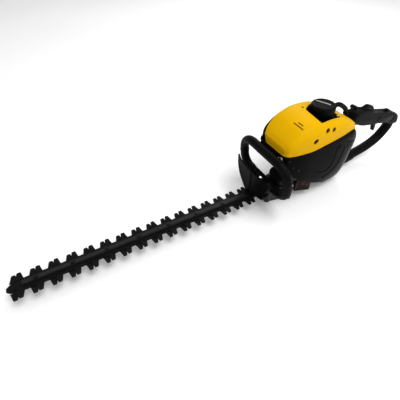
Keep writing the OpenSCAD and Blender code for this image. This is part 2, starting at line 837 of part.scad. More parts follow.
module shroud_left() {
    color("#141417") difference() {
        shroud_half(-1);
        translate([150, 0, 18]) along_x(rear_r + 0.5, 60);
        neck_window();
        for (k = [0 : 3]) translate([120 + 12 * k, -60, 95]) rotate([0, 20, 0])
            box([0, 5], [0, 20], [0, 34]);
    }
}

module shroud_right() {
    color("#141417") difference() {
        shroud_half(1);
        translate([150, 0, 18]) along_x(rear_r + 0.5, 60);
        neck_window();
        box([60, 134], [40, 70], [78, 148]);
    }
}

module cover_screws() {
    color("silver") {
        for (x = [plate_x[0] + 4, plate_x[1] - 4], y = [-24, 24])
            translate([x, y, plate_z]) cylinder(r = 2.6, h = 1.8);
    }
}

// ---- Rear handle ----
module housing_outline() {
    polygon([[172, 147], [172, 159], [190, 162], [193, 168], [203, 177], [222, 181], [242, 177],
        [262, 166], [292, 158], [342, 147], [365, 139], [378, 130], [385.5, 117], [387, 104],
        [361, 104], [354, 110], [326, 119], [292, 129], [262, 137], [240, 138], [215, 139],
        [200, 143], [191, 147]]);
}
module housing_cavity() {
    polygon([[194, 152], [196, 166], [205, 174], [222, 178], [241, 174], [261, 163], [291, 155],
        [341, 144], [363, 136], [375, 128], [382, 116], [383.5, 107], [363, 107], [355, 113],
        [327, 122], [293, 132], [263, 140], [241, 141], [216, 142], [202, 146]]);
}
module standing(y, depth) {
    translate([0, y + depth, 0]) rotate([90, 0, 0]) linear_extrude(depth) children();
}

module throttle_housing(side) {
    inner = side < 0 ? -grip_half + 3 : 0.1;
    difference() {
        standing(side < 0 ? -grip_half : 0.1, grip_half - 0.1) housing_outline();
        standing(inner - (side < 0 ? 0 : 1), grip_half - 3 + (side < 0 ? 1 : 0.9)) housing_cavity();
        box([262, 314], [-6, 6], [110, 145]);
        box([211, 268], [-7, 7], [160, 190]);
        box([322, 340], [-6, 6], [135, 160]);
        translate([270, -30, 146]) along_y(2.05, 60);
        translate([214, -30, 168]) along_y(2.05, 60);
        translate([331, -30, 144]) along_y(2.05, 60);
    }
}

module throttle_housing_left() { color("#232326") throttle_housing(-1); }
module throttle_housing_right() { color("#232326") throttle_housing(1); }

module throttle_trigger() {
    color("#0f0f10") difference() {
        union() {
            standing(-4.5, 9) polygon([[265, 150], [278, 150], [292, 140], [302, 128],
                [310, 108], [312, 98], [307, 96], [303, 104], [294, 118], [280, 132], [266, 141]]);
            translate([270, -13.5, 146]) along_y(2, 27);
        }
    }
}

module trigger_lock() {
    color("#0f0f10") union() {
        standing(-5.5, 11) polygon([[210.8, 171], [216, 183], [236, 190], [254, 184], [266, 171],
            [262, 169], [240, 172], [218, 164]]);
        translate([214, -13.5, 168]) along_y(2, 27);
    }
}

module stop_switch() {
    color("#b01818") union() {
        translate([331, 0, 144]) rotate([0, 12, 0]) box([-6.5, 6.5], [-4.5, 4.5], [-3, 10.5]);
        translate([331, -13.5, 144]) along_y(2, 27);
    }
}

module rear_handle_tube() {
    route = smooth_route([for (q = rear_route) [q[0], 0, q[1]]], 3);
    color("#1a1a1c") swept_tube(route, rear_r, 14, [0, 1, 0]);
}

gearcase_lower();
gearcase_cover();
gearcase_screws();
gearcase_bearings();
drive_gear();
eccentric_shaft();
pinion_shaft();
clutch_drum();
clutch_shoes();
clutch_spring();
clutch_hub();
clutch_housing();
blade_upper();
blade_lower();
link_upper();
link_lower();
guide_bar();
guide_bar_bolts();
hand_guard();
front_handle();
handle_bolts();
crankcase_lower();
crankcase_upper();
crank_bearings();
crank_lower();
crank_upper();
crank_pin();
connecting_rod();
wrist_pin();
piston();
cylinder_node();  // cylinder
spark_plug();
plug_boot();
ignition_coil();
ignition_lead();
flywheel();
starter_pulley();
starter_housing();
starter_rope();
starter_grip();
muffler();
exhaust_guard();
carburettor();
air_filter();
air_filter_cover();
choke_lever();
primer_bulb();
fuel_tank();
cap_plate();
fuel_cap();
top_cover();
shroud_left();
shroud_right();
cover_screws();
throttle_housing_left();
throttle_housing_right();
throttle_trigger();
trigger_lock();
stop_switch();
rear_handle_tube();
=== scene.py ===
"""Petrol hedge trimmer: smooth outer meshes, materials, light and camera on the CAD frame.

Lengths are in millimetres, and MM turns them into the frame's metres.
"""
import math
from contextlib import contextmanager

import bpy
import bmesh
from mathutils import Euler, Matrix, Vector


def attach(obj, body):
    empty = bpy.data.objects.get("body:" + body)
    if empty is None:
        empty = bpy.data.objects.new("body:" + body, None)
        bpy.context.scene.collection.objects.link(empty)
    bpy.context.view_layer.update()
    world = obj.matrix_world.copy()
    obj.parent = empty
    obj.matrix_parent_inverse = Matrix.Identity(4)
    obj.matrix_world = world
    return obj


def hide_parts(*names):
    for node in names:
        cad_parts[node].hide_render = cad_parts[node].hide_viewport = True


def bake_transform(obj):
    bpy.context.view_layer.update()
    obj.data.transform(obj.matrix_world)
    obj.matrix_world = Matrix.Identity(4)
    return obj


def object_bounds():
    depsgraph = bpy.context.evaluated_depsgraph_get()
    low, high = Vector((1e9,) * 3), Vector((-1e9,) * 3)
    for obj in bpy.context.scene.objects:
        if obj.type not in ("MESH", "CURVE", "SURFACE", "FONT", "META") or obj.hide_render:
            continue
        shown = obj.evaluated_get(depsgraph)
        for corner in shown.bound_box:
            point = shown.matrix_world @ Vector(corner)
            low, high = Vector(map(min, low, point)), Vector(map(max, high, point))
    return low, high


MM = 0.001
DUST = (0.42, 0.40, 0.36)

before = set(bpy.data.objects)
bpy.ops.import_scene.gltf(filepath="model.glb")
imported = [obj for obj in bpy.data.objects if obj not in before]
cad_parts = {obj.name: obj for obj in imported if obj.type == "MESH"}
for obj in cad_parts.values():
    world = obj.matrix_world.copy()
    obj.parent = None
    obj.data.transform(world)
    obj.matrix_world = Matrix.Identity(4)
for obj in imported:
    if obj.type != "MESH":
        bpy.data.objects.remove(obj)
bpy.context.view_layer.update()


# ---- Shader nodes ----

def new_material(name):
    """A material, its node tree and its Principled shader."""
    material = bpy.data.materials.new(name)
    material.use_nodes = True
    tree = material.node_tree
    shader = next(n for n in tree.nodes if n.type == "BSDF_PRINCIPLED")
    return material, tree, shader


def set_inputs(node, **values):
    """Sets a node's sockets by name, with underscores for spaces."""
    for name, value in values.items():
        node.inputs[name.replace("_", " ")].default_value = value


def shade(colour, gain, lift=0.0):
    """A darker or lighter copy of a colour."""
    return tuple(min(1.0, c * gain + lift) for c in colour)


def object_coordinates(tree, scale=(1.0, 1.0, 1.0), turn=(0.0, 0.0, 0.0)):
    coordinates = tree.nodes.new("ShaderNodeTexCoord")
    mapping = tree.nodes.new("ShaderNodeMapping")
    set_inputs(mapping, Scale=scale, Rotation=turn)
    tree.links.new(coordinates.outputs["Object"], mapping.inputs["Vector"])
    return mapping.outputs["Vector"]


def noise(tree, vector, scale, detail=3.0, roughness=0.5):
    node = tree.nodes.new("ShaderNodeTexNoise")
    set_inputs(node, Scale=scale, Detail=detail, Roughness=roughness)
    tree.links.new(vector, node.inputs["Vector"])
    return node.outputs["Fac"]


def ramp(tree, value, stops):
    """A colour ramp; stops are (position, colour)."""
    node = tree.nodes.new("ShaderNodeValToRGB")
    points = node.color_ramp.elements
    while len(points) < len(stops):
        points.new(0.5)
    for point, (position, colour) in zip(points, stops):
        point.position = position
        point.color = (*colour, 1.0)
    tree.links.new(value, node.inputs["Fac"])
    return node.outputs["Color"]


def span(tree, value, low, high):
    """A 0 to 1 value spread over low to high."""
    node = tree.nodes.new("ShaderNodeMapRange")
    set_inputs(node, To_Min=low, To_Max=high)
    tree.links.new(value, node.inputs["Value"])
    return node.outputs["Result"]


def mix_colours(tree, factor, first, second):
    node = tree.nodes.new("ShaderNodeMix")
    node.data_type = "RGBA"
    tree.links.new(factor, node.inputs["Factor"])
    for socket, colour in ((node.inputs[6], first), (node.inputs[7], second)):
        if isinstance(colour, tuple):
            socket.default_value = (*colour, 1.0)
        else:
            tree.links.new(colour, socket)
    return node.outputs[2]


def add_bump(tree, shader, height, strength, distance, before=None):
    node = tree.nodes.new("ShaderNodeBump")
    set_inputs(node, Strength=strength, Distance=distance)
    tree.links.new(height, node.inputs["Height"])
    if before is not None:
        tree.links.new(before, node.inputs["Normal"])
    tree.links.new(node.outputs["Normal"], shader.inputs["Normal"])


def edge_wear(tree, low, high):
    """Bright where the surface turns sharply outward."""
    geometry = tree.nodes.new("ShaderNodeNewGeometry")
    node = tree.nodes.new("ShaderNodeMapRange")
    set_inputs(node, From_Min=low, From_Max=high)
    tree.links.new(geometry.outputs["Pointiness"], node.inputs["Value"])
    return node.outputs["Result"]


def dress(tree, shader, colour, rough):
    """Links a shader's base colour and its roughness."""
    tree.links.new(colour, shader.inputs["Base Color"])
    tree.links.new(rough, shader.inputs["Roughness"])


def moulded(name, colour, rough, grain=900.0, depth=0.0001, strength=0.25, wear=0.12, dust=0.004,
            shine=0.1):
    """Injection-moulded plastic: fine grain, slight blotches, paler worn edges and faint dust."""
    material, tree, shader = new_material(name)
    place = object_coordinates(tree)
    broad = noise(tree, place, 14.0, 4.0)
    body = ramp(tree, broad, [(0.32, shade(colour, 0.82)), (0.5, colour),
                              (0.7, shade(colour, 1.16, 0.004))])
    scaled = span(tree, edge_wear(tree, 0.54, 0.66), 0.0, wear)
    edged = mix_colours(tree, scaled, body, shade(colour, 1.5, 0.05))
    dusty = span(tree, noise(tree, place, 220.0, 2.0), 0.0, dust)
    final = mix_colours(tree, dusty, edged, DUST)
    dress(tree, shader, final,
          span(tree, noise(tree, place, 55.0, 3.0), rough - 0.07, rough + 0.09))
    add_bump(tree, shader, noise(tree, place, grain, 2.0), strength, depth)
    set_inputs(shader, Specular_IOR_Level=shine)
    return material


def glossy(name, colour, rough, ripple=0.05, coat=0.6, streak=0.06, shine=0.4):
    """Polished moulded plastic: faint ripple, fine scratches and a clear reflection."""
    material, tree, shader = new_material(name)
    place = object_coordinates(tree)
    broad = noise(tree, place, 9.0, 3.0)
    body = ramp(tree, broad, [(0.35, shade(colour, 0.93)), (0.65, colour)])
    worn = span(tree, edge_wear(tree, 0.55, 0.68), 0.0, 0.3)
    edged = mix_colours(tree, worn, body, shade(colour, 1.25, 0.02))
    scratch_place = object_coordinates(tree, (1.0, 14.0, 3.0), (0.2, 0.5, 0.3))
    scratches = noise(tree, scratch_place, 120.0, 4.0, 0.7)
    dress(tree, shader, edged, span(tree, scratches, rough - streak / 2, rough + streak))
    add_bump(tree, shader, noise(tree, place, 60.0, 2.0), ripple, 0.0006)
    set_inputs(shader, Specular_IOR_Level=shine, Coat_Weight=coat, Coat_Roughness=0.06)
    return material


def machined(name, colour, rough, stretch=(4.0, 60.0, 60.0)):
    """Bare metal with brushed lines, light stains and brighter edges."""
    material, tree, shader = new_material(name)
    set_inputs(shader, Metallic=1.0)
    lines = noise(tree, object_coordinates(tree, stretch), 40.0, 4.0)
    stains = noise(tree, object_coordinates(tree), 28.0, 5.0, 0.6)
    body = ramp(tree, stains, [(0.38, shade(colour, 0.75)), (0.62, colour)])
    worn = span(tree, edge_wear(tree, 0.53, 0.6), 0.0, 0.7)
    edged = mix_colours(tree, worn, body, shade(colour, 1.25))
    dress(tree, shader, edged, span(tree, lines, rough - 0.1, rough + 0.14))
    add_bump(tree, shader, lines, 0.15, 0.0001)
    return material


def cast_metal(name, colour, rough, metallic=0.85, pits=420.0):
    """Die-cast or painted metal: pebbled skin, uneven tone, rubbed edges."""
    material, tree, shader = new_material(name)
    set_inputs(shader, Metallic=metallic)
    place = object_coordinates(tree)
    tone = noise(tree, place, 32.0, 5.0, 0.6)
    body = ramp(tree, tone, [(0.35, shade(colour, 0.62)), (0.6, colour)])
    worn = span(tree, edge_wear(tree, 0.53, 0.6), 0.0, 0.6)
    edged = mix_colours(tree, worn, body, shade(colour, 1.7, 0.06))
    dress(tree, shader, edged, span(tree, tone, rough - 0.1, rough + 0.12))
    add_bump(tree, shader, noise(tree, place, pits, 3.0), 0.35, 0.00018)
    return material


def coated_blade(name, colour, ground):
    """Black coated steel whose edges are rubbed to grey."""
    material, tree, shader = new_material(name)
    set_inputs(shader, Metallic=0.35, Specular_IOR_Level=0.1)
    place = object_coordinates(tree)
    lines = noise(tree, object_coordinates(tree, (60.0, 3.0, 60.0)), 30.0, 3.0)
    tone = noise(tree, place, 45.0, 5.0, 0.65)
    body = ramp(tree, tone, [(0.36, shade(colour, 0.6)), (0.62, colour)])
    worn = span(tree, edge_wear(tree, 0.53, 0.64), 0.0, 0.45)
    edged = mix_colours(tree, worn, body, ground)
    dress(tree, shader, edged, span(tree, lines, 0.3, 0.52))
    add_bump(tree, shader, lines, 0.2, 0.0001)
    return material


def stained_steel(name):
    """Heat-tinted steel: brown oxide patches over grey, matt and slightly pitted."""
    material, tree, shader = new_material(name)
    set_inputs(shader, Metallic=0.55)
    place = object_coordinates(tree)
    patches = noise(tree, place, 60.0, 6.0, 0.65)
    body = ramp(tree, patches, [(0.3, (0.012, 0.009, 0.008)), (0.46, (0.045, 0.028, 0.024)),
                                (0.58, (0.12, 0.08, 0.07)), (0.75, (0.30, 0.25, 0.24))])
    dress(tree, shader, body, span(tree, patches, 0.42, 0.72))
    add_bump(tree, shader, noise(tree, place, 380.0, 3.0), 0.4, 0.0002)
    return material


def woven_cord(name, colour):
    """Braided cord: fine diagonal plaits, with painted shade in the grooves between them."""
    material, tree, shader = new_material(name)
    wave = tree.nodes.new("ShaderNodeTexWave")
    set_inputs(wave, Scale=420.0, Distortion=1.5)
    tree.links.new(object_coordinates(tree, turn=(0.5, 0.7, 0.0)), wave.inputs["Vector"])
    # Darker where the wave is low, in the grooves of the bump: painted shade.
    body = ramp(tree, wave.outputs["Fac"], [(0.2, shade(colour, 0.4)), (0.8, colour)])
    tree.links.new(body, shader.inputs["Base Color"])
    set_inputs(shader, Roughness=0.85)
    add_bump(tree, shader, wave.outputs["Fac"], 0.5, 0.0004)
    return material


def foam(name, colour):
    """Open-cell filter foam, with painted shade in its pores."""
    material, tree, shader = new_material(name)
    cells = tree.nodes.new("ShaderNodeTexVoronoi")
    set_inputs(cells, Scale=700.0)
    tree.links.new(object_coordinates(tree), cells.inputs["Vector"])
    # Darker towards the cell centres, where the bump sinks into pores: painted shade.
    body = ramp(tree, cells.outputs["Distance"], [(0.1, shade(colour, 0.3)), (0.5, colour)])
    tree.links.new(body, shader.inputs["Base Color"])
    set_inputs(shader, Roughness=0.95)
    add_bump(tree, shader, cells.outputs["Distance"], 0.8, 0.0006)
    return material


def milky(name, colour, rough):
    """Translucent polyethylene, a little uneven."""
    material, tree, shader = new_material(name)
    place = object_coordinates(tree)
    body = ramp(tree, noise(tree, place, 22.0, 4.0),
                [(0.35, shade(colour, 0.85)), (0.65, colour)])
    dress(tree, shader, body,
          span(tree, noise(tree, place, 80.0, 3.0), rough - 0.08, rough + 0.08))
    set_inputs(shader, Subsurface_Weight=0.15, Subsurface_Scale=0.004)
    add_bump(tree, shader, noise(tree, place, 500.0, 2.0), 0.15, 0.0001)
    return material


def pebbled_grip(name, colour, rough, pitch=0.0026):
    """Rubbery grip plastic with a fine grain over a coarser pebble."""
    material = moulded(name, colour, rough, grain=650.0, depth=0.00035, strength=0.55)
    tree = material.node_tree
    shader = next(n for n in tree.nodes if n.type == "BSDF_PRINCIPLED")
    first = next(n for n in tree.nodes if n.type == "BUMP")
    cells = tree.nodes.new("ShaderNodeTexVoronoi")
    set_inputs(cells, Scale=1.0 / pitch)
    tree.links.new(object_coordinates(tree), cells.inputs["Vector"])
    add_bump(tree, shader, cells.outputs["Distance"], 0.3, 0.0005, first.outputs["Normal"])
    return material


YELLOW = glossy("yellow_cover", (0.80, 0.485, 0.0010), 0.34, ripple=0.08, coat=0.0, shine=0.06)
BLACK_GLOSS = glossy("black_shroud", (0.0032, 0.0033, 0.0038), 0.13, ripple=0.07, coat=0.02,
                     shine=0.03)
BLACK_SATIN = moulded("black_satin", (0.0032, 0.0032, 0.0034), 0.36)
BLACK_GRAIN = moulded("black_grain", (0.0048, 0.0048, 0.0050), 0.44, grain=1200.0, depth=0.0002,
                      strength=0.4)
GRIP = pebbled_grip("black_grip", (0.0050, 0.0050, 0.0053), 0.42)
GUARD_GREY = moulded("guard_grey", (0.0050, 0.0050, 0.0053), 0.32, grain=1000.0, strength=0.35,
                     shine=0.05)
# Pale grey of the cap's bar: partly the white print of the real cap, partly a painted highlight
# along the bar's top.
PRINT_AND_HIGHLIGHT_GREY = moulded("bar_print_and_painted_highlight", (0.50, 0.50, 0.50), 0.4, wear=0.05)
BLADE = coated_blade("blade_coating", (0.0036, 0.0036, 0.0040), (0.05, 0.05, 0.055))
BAR = coated_blade("bar_coating", (0.0050, 0.0050, 0.0054), (0.12, 0.12, 0.125))
STEEL = machined("machined_steel", (0.55, 0.55, 0.56), 0.32)
ZINC = machined("zinc_screws", (0.62, 0.61, 0.58), 0.35, (30.0, 30.0, 30.0))
# Dark oxide steel; on the cover's side screws the darkness is also painted shade in their holes.
DARK_STEEL = machined("oxide_bolts_and_painted_shade", (0.045, 0.045, 0.048), 0.42, (30.0, 30.0, 30.0))
CAST_DARK = cast_metal("cast_gearcase", (0.0080, 0.0082, 0.0086), 0.45, 0.3)
CAST_GREY = cast_metal("cast_engine", (0.34, 0.35, 0.36), 0.5)
SINTERED = cast_metal("sintered_iron", (0.20, 0.17, 0.15), 0.6, 0.7, 700.0)
STAINED = stained_steel("stained_exhaust")
CORD = woven_cord("braided_cord", (0.06, 0.06, 0.06))
FOAM = foam("filter_foam", (0.10, 0.10, 0.09))
MILKY = milky("tank_plastic", (0.72, 0.69, 0.60), 0.42)
BULB = milky("bulb_rubber", (0.62, 0.52, 0.36), 0.3)
RUBBER = moulded("black_rubber", (0.006, 0.006, 0.006), 0.62, grain=700.0, wear=0.05)
CERAMIC = glossy("plug_ceramic", (0.80, 0.79, 0.74), 0.2)
RED = moulded("red_plastic", (0.45, 0.02, 0.015), 0.38)
MOULDED_BLACK = moulded("moulded_black", (0.010, 0.010, 0.0105), 0.45)

CAD_MATERIALS = {
    CAST_DARK: "gearcase_lower gearcase_cover clutch_housing",
    CAST_GREY: "crankcase_lower crankcase_upper cylinder carburettor flywheel",
    ZINC: "gearcase_screws handle_bolts cover_screws",
    DARK_STEEL: "guide_bar_bolts clutch_spring",
    STEEL: "gearcase_bearings crank_bearings drive_gear eccentric_shaft pinion_shaft link_upper "
           "link_lower crank_lower crank_upper crank_pin wrist_pin connecting_rod clutch_drum "
           "piston",
    SINTERED: "clutch_shoes clutch_hub",
    BLADE: "blade_upper blade_lower",
    BAR: "guide_bar",
    RUBBER: "plug_boot ignition_lead",
    CERAMIC: "spark_plug",
    MOULDED_BLACK: "ignition_coil starter_pulley",
    BLACK_SATIN: "starter_housing",
    STAINED: "muffler exhaust_guard",
    CORD: "starter_rope",
    FOAM: "air_filter",
    MILKY: "fuel_tank",
    BULB: "primer_bulb",
    RED: "choke_lever",
}
for material, names in CAD_MATERIALS.items():
    for node_name in names.split():
        node_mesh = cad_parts[node_name].data
        node_mesh.materials.clear()
        node_mesh.materials.append(material)


# ---- Mesh helpers ----

def link(name, mesh):
    piece = bpy.data.objects.new(name, mesh)
    bpy.context.scene.collection.objects.link(piece)
    return piece


@contextmanager
def editing(mesh):
    """Opens a mesh for bmesh operations and writes it back."""
    work = bmesh.new()
    work.from_mesh(mesh)
    yield work
    work.to_mesh(mesh)
    work.free()


def from_lists(name, points, faces):
    """An object from points in millimetres."""
    mesh = bpy.data.meshes.new(name)
    mesh.from_pydata([[c * MM for c in p] for p in points], [], faces)
    mesh.validate()
    with editing(mesh) as work:
        bmesh.ops.remove_doubles(work, verts=work.verts, dist=1e-6)
        bmesh.ops.recalc_face_normals(work, faces=work.faces)
    return link(name, mesh)


def bake_modifiers(piece):
    """Applies a piece's modifiers to its mesh."""
    graph = bpy.context.evaluated_depsgraph_get()
    mesh = bpy.data.meshes.new_from_object(piece.evaluated_get(graph), depsgraph=graph)
    piece.modifiers.clear()
    piece.data = mesh
    return piece


def combine(piece, tool, operation):
    """Adds, cuts or keeps the common part, then removes the tool."""
    step = piece.modifiers.new("combine", "BOOLEAN")
    step.operation = operation
    step.solver = "EXACT"
    step.object = tool
    bake_modifiers(piece)
    bpy.data.objects.remove(tool)
    return piece


def cut(piece, tool):
    return combine(piece, tool, "DIFFERENCE")


def keep_inside(piece, tool):
    return combine(piece, tool, "INTERSECT")


def soften(piece, width, segments=3, angle=30.0):
    """Rounds the edges sharper than an angle in degrees."""
    step = piece.modifiers.new("soften", "BEVEL")
    step.width = width * MM
    step.segments = segments
    step.limit_method = "ANGLE"
    step.angle_limit = math.radians(angle)
    return bake_modifiers(piece)


def finish_piece(piece, body, material, stands_for=(), angle=32.0):
    """Shades a piece, gives it its body and hides the CAD nodes it stands for."""
    mesh = piece.data
    mesh.materials.clear()
    mesh.materials.append(material)
    for face in mesh.polygons:
        face.use_smooth = True
        face.material_index = 0
    mesh.set_sharp_from_angle(angle=math.radians(angle))
    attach(piece, body)
    if stands_for:
        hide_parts(*stands_for)
    return piece


def stand_in(piece, body, node, material, angle=32.0):
    """Finishes a piece that takes the place of a CAD node."""
    return finish_piece(piece, body, material, (node,), angle)


def join(pieces, name):
    """One mesh from several."""
    merged = bmesh.new()
    for piece in pieces:
        merged.from_mesh(piece.data)
    mesh = bpy.data.meshes.new(name)
    merged.to_mesh(mesh)
    merged.free()
    for piece in pieces:
        bpy.data.objects.remove(piece)
    return link(name, mesh)


def block(low, high):
    """A box between two corners."""
    (x0, y0, z0), (x1, y1, z1) = low, high
    points = [(x, y, z) for x in (x0, x1) for y in (y0, y1) for z in (z0, z1)]
    faces = [(0, 1, 3, 2), (4, 6, 7, 5), (0, 4, 5, 1), (2, 3, 7, 6), (0, 2, 6, 4), (1, 5, 7, 3)]
    return from_lists("block", points, faces)


def prism(outline, y0, y1):
    """A side outline of (x, z) points stretched from y0 to y1."""
    n = len(outline)
    points = [(x, y, z) for y in (y0, y1) for x, z in outline]
    faces = [tuple(range(n)), tuple(range(2 * n - 1, n - 1, -1))]
    faces += [(i, n + i, n + (i + 1) % n, (i + 1) % n) for i in range(n)]
    return from_lists("prism", points, faces)


def upright(outline, z0, z1):
    """A plan outline of (x, y) points stretched from z0 to z1."""
    n = len(outline)
    points = [(x, y, z) for z in (z0, z1) for x, y in outline]
    faces = [tuple(range(n)), tuple(range(2 * n - 1, n - 1, -1))]
    faces += [(i, (i + 1) % n, n + (i + 1) % n, n + i) for i in range(n)]
    return from_lists("upright", points, faces)


def rounded_rectangle(x0, x1, y0, y1, radius, steps=6):
    """An outline with a quarter circle of a number of steps at each corner."""
    outline = []
    for cx, cy, start in ((x1 - radius, y1 - radius, 0), (x0 + radius, y1 - radius, 90),
                          (x0 + radius, y0 + radius, 180), (x1 - radius, y0 + radius, 270)):
        for k in range(steps + 1):
            a = math.radians(start + 90 * k / steps)
            outline.append((cx + radius * math.cos(a), cy + radius * math.sin(a)))
    return outline


def curve_point(a, b, c, d, t):
    """A point from b (t = 0) to c (t = 1) on the Catmull-Rom curve through four points."""
    return [0.5 * (2 * q + (r - p) * t + (2 * p - 5 * q + 4 * r - s) * t * t
                   + (3 * q - p - 3 * r + s) * t ** 3) for p, q, r, s in zip(a, b, c, d)]


def smooth(points, steps):
    """A smooth curve through a list of points."""
    last = len(points) - 1
    result = []
    for i in range(last):
        ends = points[max(i - 1, 0)], points[i], points[i + 1], points[min(i + 2, last)]
        result += [curve_point(*ends, k / steps) for k in range(steps)]
    return result + [list(points[last])]


def ring_faces(rings, sides):
    """Faces between rings of points, one after another, and over both ends."""
    faces = []
    for i in range(rings - 1):
        for k in range(sides):
            j = (k + 1) % sides
            faces.append((i * sides + k, i * sides + j, (i + 1) * sides + j, (i + 1) * sides + k))
    return faces + [tuple(range(sides)), tuple(range((rings - 1) * sides, rings * sides))]


# How far a tube's domed end reaches, as a share of its radius, and the angles of its rings
DOME_SHARE, DOME_ANGLES = 0.35, (12, 35, 60)


def tube(name, route, radii, sides=24, round_ends=True):
    """A tube along a route, with a radius for each point and domed ends."""
    route = [Vector(p) for p in route]
    radii = list(radii) if isinstance(radii, (list, tuple)) else [radii] * len(route)
    tangents = [(route[min(i + 1, len(route) - 1)] - route[max(i - 1, 0)]).normalized()
                for i in range(len(route))]
    if round_ends:
        for end, inward in ((0, 1), (-1, -1)):
            centre, tangent, radius = route[end], tangents[end] * inward, radii[end]
            dome = tangent * radius * DOME_SHARE
            spots = [centre + dome * (1 - math.sin(math.radians(a))) for a in DOME_ANGLES]
            spots.append(centre + dome)
            sizes = [radius * math.sin(math.radians(a)) for a in DOME_ANGLES] + [radius]
            if end == 0:
                route, radii = spots + route[1:], sizes + radii[1:]
                tangents = [tangents[0]] * len(DOME_ANGLES) + tangents
            else:
                route, radii = route[:-1] + spots[::-1], radii[:-1] + sizes[::-1]
                tangents = tangents + [tangents[-1]] * len(DOME_ANGLES)
    side = tangents[0].orthogonal().normalized()
    points = []
    for centre, tangent, radius in zip(route, tangents, radii):
        side = (side - tangent * side.dot(tangent)).normalized()
        other = tangent.cross(side)
        for k in range(sides):
            a = 2 * math.pi * k / sides
            points.append(centre + radius * (side * math.cos(a) + other * math.sin(a)))
    return from_lists(name, points, ring_faces(len(route), sides))


def put(piece, place, degrees, axis):
    """Turns a piece about an axis through the origin, then carries it to a place."""
    piece.data.transform(Matrix.Translation(Vector(place) * MM)
                         @ Matrix.Rotation(math.radians(degrees), 4, axis))
    return piece


def turned(name, profile, centre, axis="Z", sides=48):
    """A turned part from (radius, height) pairs about an axis through centre."""
    points = []
    for radius, height in profile:
        for k in range(sides):
            a = 2 * math.pi * k / sides
            points.append((radius * math.cos(a), radius * math.sin(a), height))
    piece = from_lists(name, points, ring_faces(len(profile), sides))
    degrees, about = {"Z": (0, "Z"), "X": (90, "Y"), "-Y": (90, "X")}[axis]
    return put(piece, centre, degrees, about)


def half_span(side, near, far):
    """The y range between two distances from the middle, on one side of it."""
    return sorted((side * near, side * far))


def crossbar(x, z, reach, radius, sides):
    """A round bar across the machine, from -reach to reach."""
    return tube("crossbar", [(x, y, z) for y in (-reach, 0, reach)], radius, sides)


# ---- Covers ----

COVER_HALF, COVER_BASE = 55.0, 158.0
WALL = 3.0
# Stations of the cover: x, share of its half width, height of its crown
COVER_ROWS = [(-52, 0.72, 178), (-46, 0.84, 188), (-34, 0.91, 199), (-15, 0.96, 211),
              (12, 1, 219), (38, 1, 220), (72, 1, 216.5), (105, 0.96, 207.5), (128, 0.89, 198),
              (148, 0.78, 188), (165, 0.62, 177), (175, 0.46, 171)]
# At each x: the crown's rise for each millimetre to the far side, and the seam's height
CROWN_TILT = [(-60, 0), (0, 0.02), (40, 0.085), (75, 0.095), (110, 0.03), (140, 0), (200, 0)]
SEAM_LINE = [(-60, 158.7), (-20, 158.2), (15, 158.2), (32, 160.2), (50, 164.0), (75, 167.8),
             (120, 173.2), (142, 172.6), (158, 163.5), (200, 155)]
# Stations of the shroud: x, share of the half width, lowest and highest z
SHROUD_ROWS = [(-54, 0.72, 10, 180), (-46, 0.84, 0, 180), (-34, 0.91, 0, 180),
               (-15, 0.96, 0, 180), (15, 1, 0, 180), (50, 1, 0, 180), (96, 1, 0, 182),
               (125, 0.98, 0, 184), (148, 0.94, 0, 180), (165, 0.87, 2, 166),
               (178, 0.76, 9, 146), (186, 0.6, 22, 124)]
SHROUD_SHOULDER = 32.0
COVER_SQUARENESS, SHOULDER_SQUARENESS, BELLY_SQUARENESS = 6.0, 3.6, 4.6
SHROUD_OPENING = math.asin(0.98)
SEAM_FRONT, SEAM_REAR = -50.0, 172.0


def between(rows, x):
    """Straight interpolation in a list of rows that start with x."""
    for low, high in zip(rows, rows[1:]):
        if x <= high[0]:
            t = (x - low[0]) / (high[0] - low[0])
            return [a + (b - a) * max(t, 0.0) for a, b in zip(low[1:], high[1:])]
    return list(rows[-1][1:])


def seam_height(x):
    """The height at which the yellow cover meets the black shroud."""
    return between(SEAM_LINE, x)[0]


def bulge(angle, exponent):
    """Unit superellipse point at an angle in radians."""
    c, s = math.cos(angle), math.sin(angle)
    return (math.copysign(abs(c) ** (2 / exponent), c), math.copysign(abs(s) ** (2 / exponent), s))


def cover_surface(inset, columns=72):
    """Rows of points of the domed cover, each running from the near seam to the far seam."""
    rows = []
    stations = smooth(COVER_ROWS, 6)
    last = len(stations) - 1
    for i, (x, share, top) in enumerate(stations):
        half, rise = COVER_HALF * share - inset, top - inset - COVER_BASE
        px = x + inset if i == 0 else x - inset if i == last else x
        seam = seam_height(x)
        row = []
        for k in range(columns + 1):
            across, up = bulge(math.pi * k / columns, COVER_SQUARENESS)
            y = -half * across
            z = COVER_BASE + rise * up + up * y * between(CROWN_TILT, x)[0]
            row.append([px, y, max(z, seam)])
        rows.append(row)
    return rows


# Rows that round an open end: size of the row, and share of the shift along x
END_ROUNDING = [(0.97, 0.55), (0.88, 0.85), (0.7, 0.97), (0.4, 1.0), (0.08, 1.0)]


def close_end(rows, at_front, shift):
    """Extra rows that round an open end in towards its middle."""
    edge = rows[0] if at_front else rows[-1]
    middle_z = edge[0][2]
    extra = []
    for scale, step in END_ROUNDING:
        extra.append([[x + shift * step, y * scale, middle_z + (z - middle_z) * scale]
                      for x, y, z in edge])
    return extra[::-1] + rows if at_front else rows + extra


def sheet_mesh(name, rows):
    """An open sheet from rows of points."""
    columns = len(rows[0])
    points = [p for row in rows for p in row]
    faces = []
    for i in range(len(rows) - 1):
        for k in range(columns - 1):
            a = i * columns + k
            faces.append((a, a + 1, a + columns + 1, a + columns))
    return from_lists(name, points, faces)


def thicken(piece, thickness, offset=-1.0, even=True):
    """Gives an open sheet a wall, by default on its inner side."""
    step = piece.modifiers.new("wall", "SOLIDIFY")
    step.thickness = thickness * MM
    step.offset = offset
    step.use_even_offset = even
    return bake_modifiers(piece)


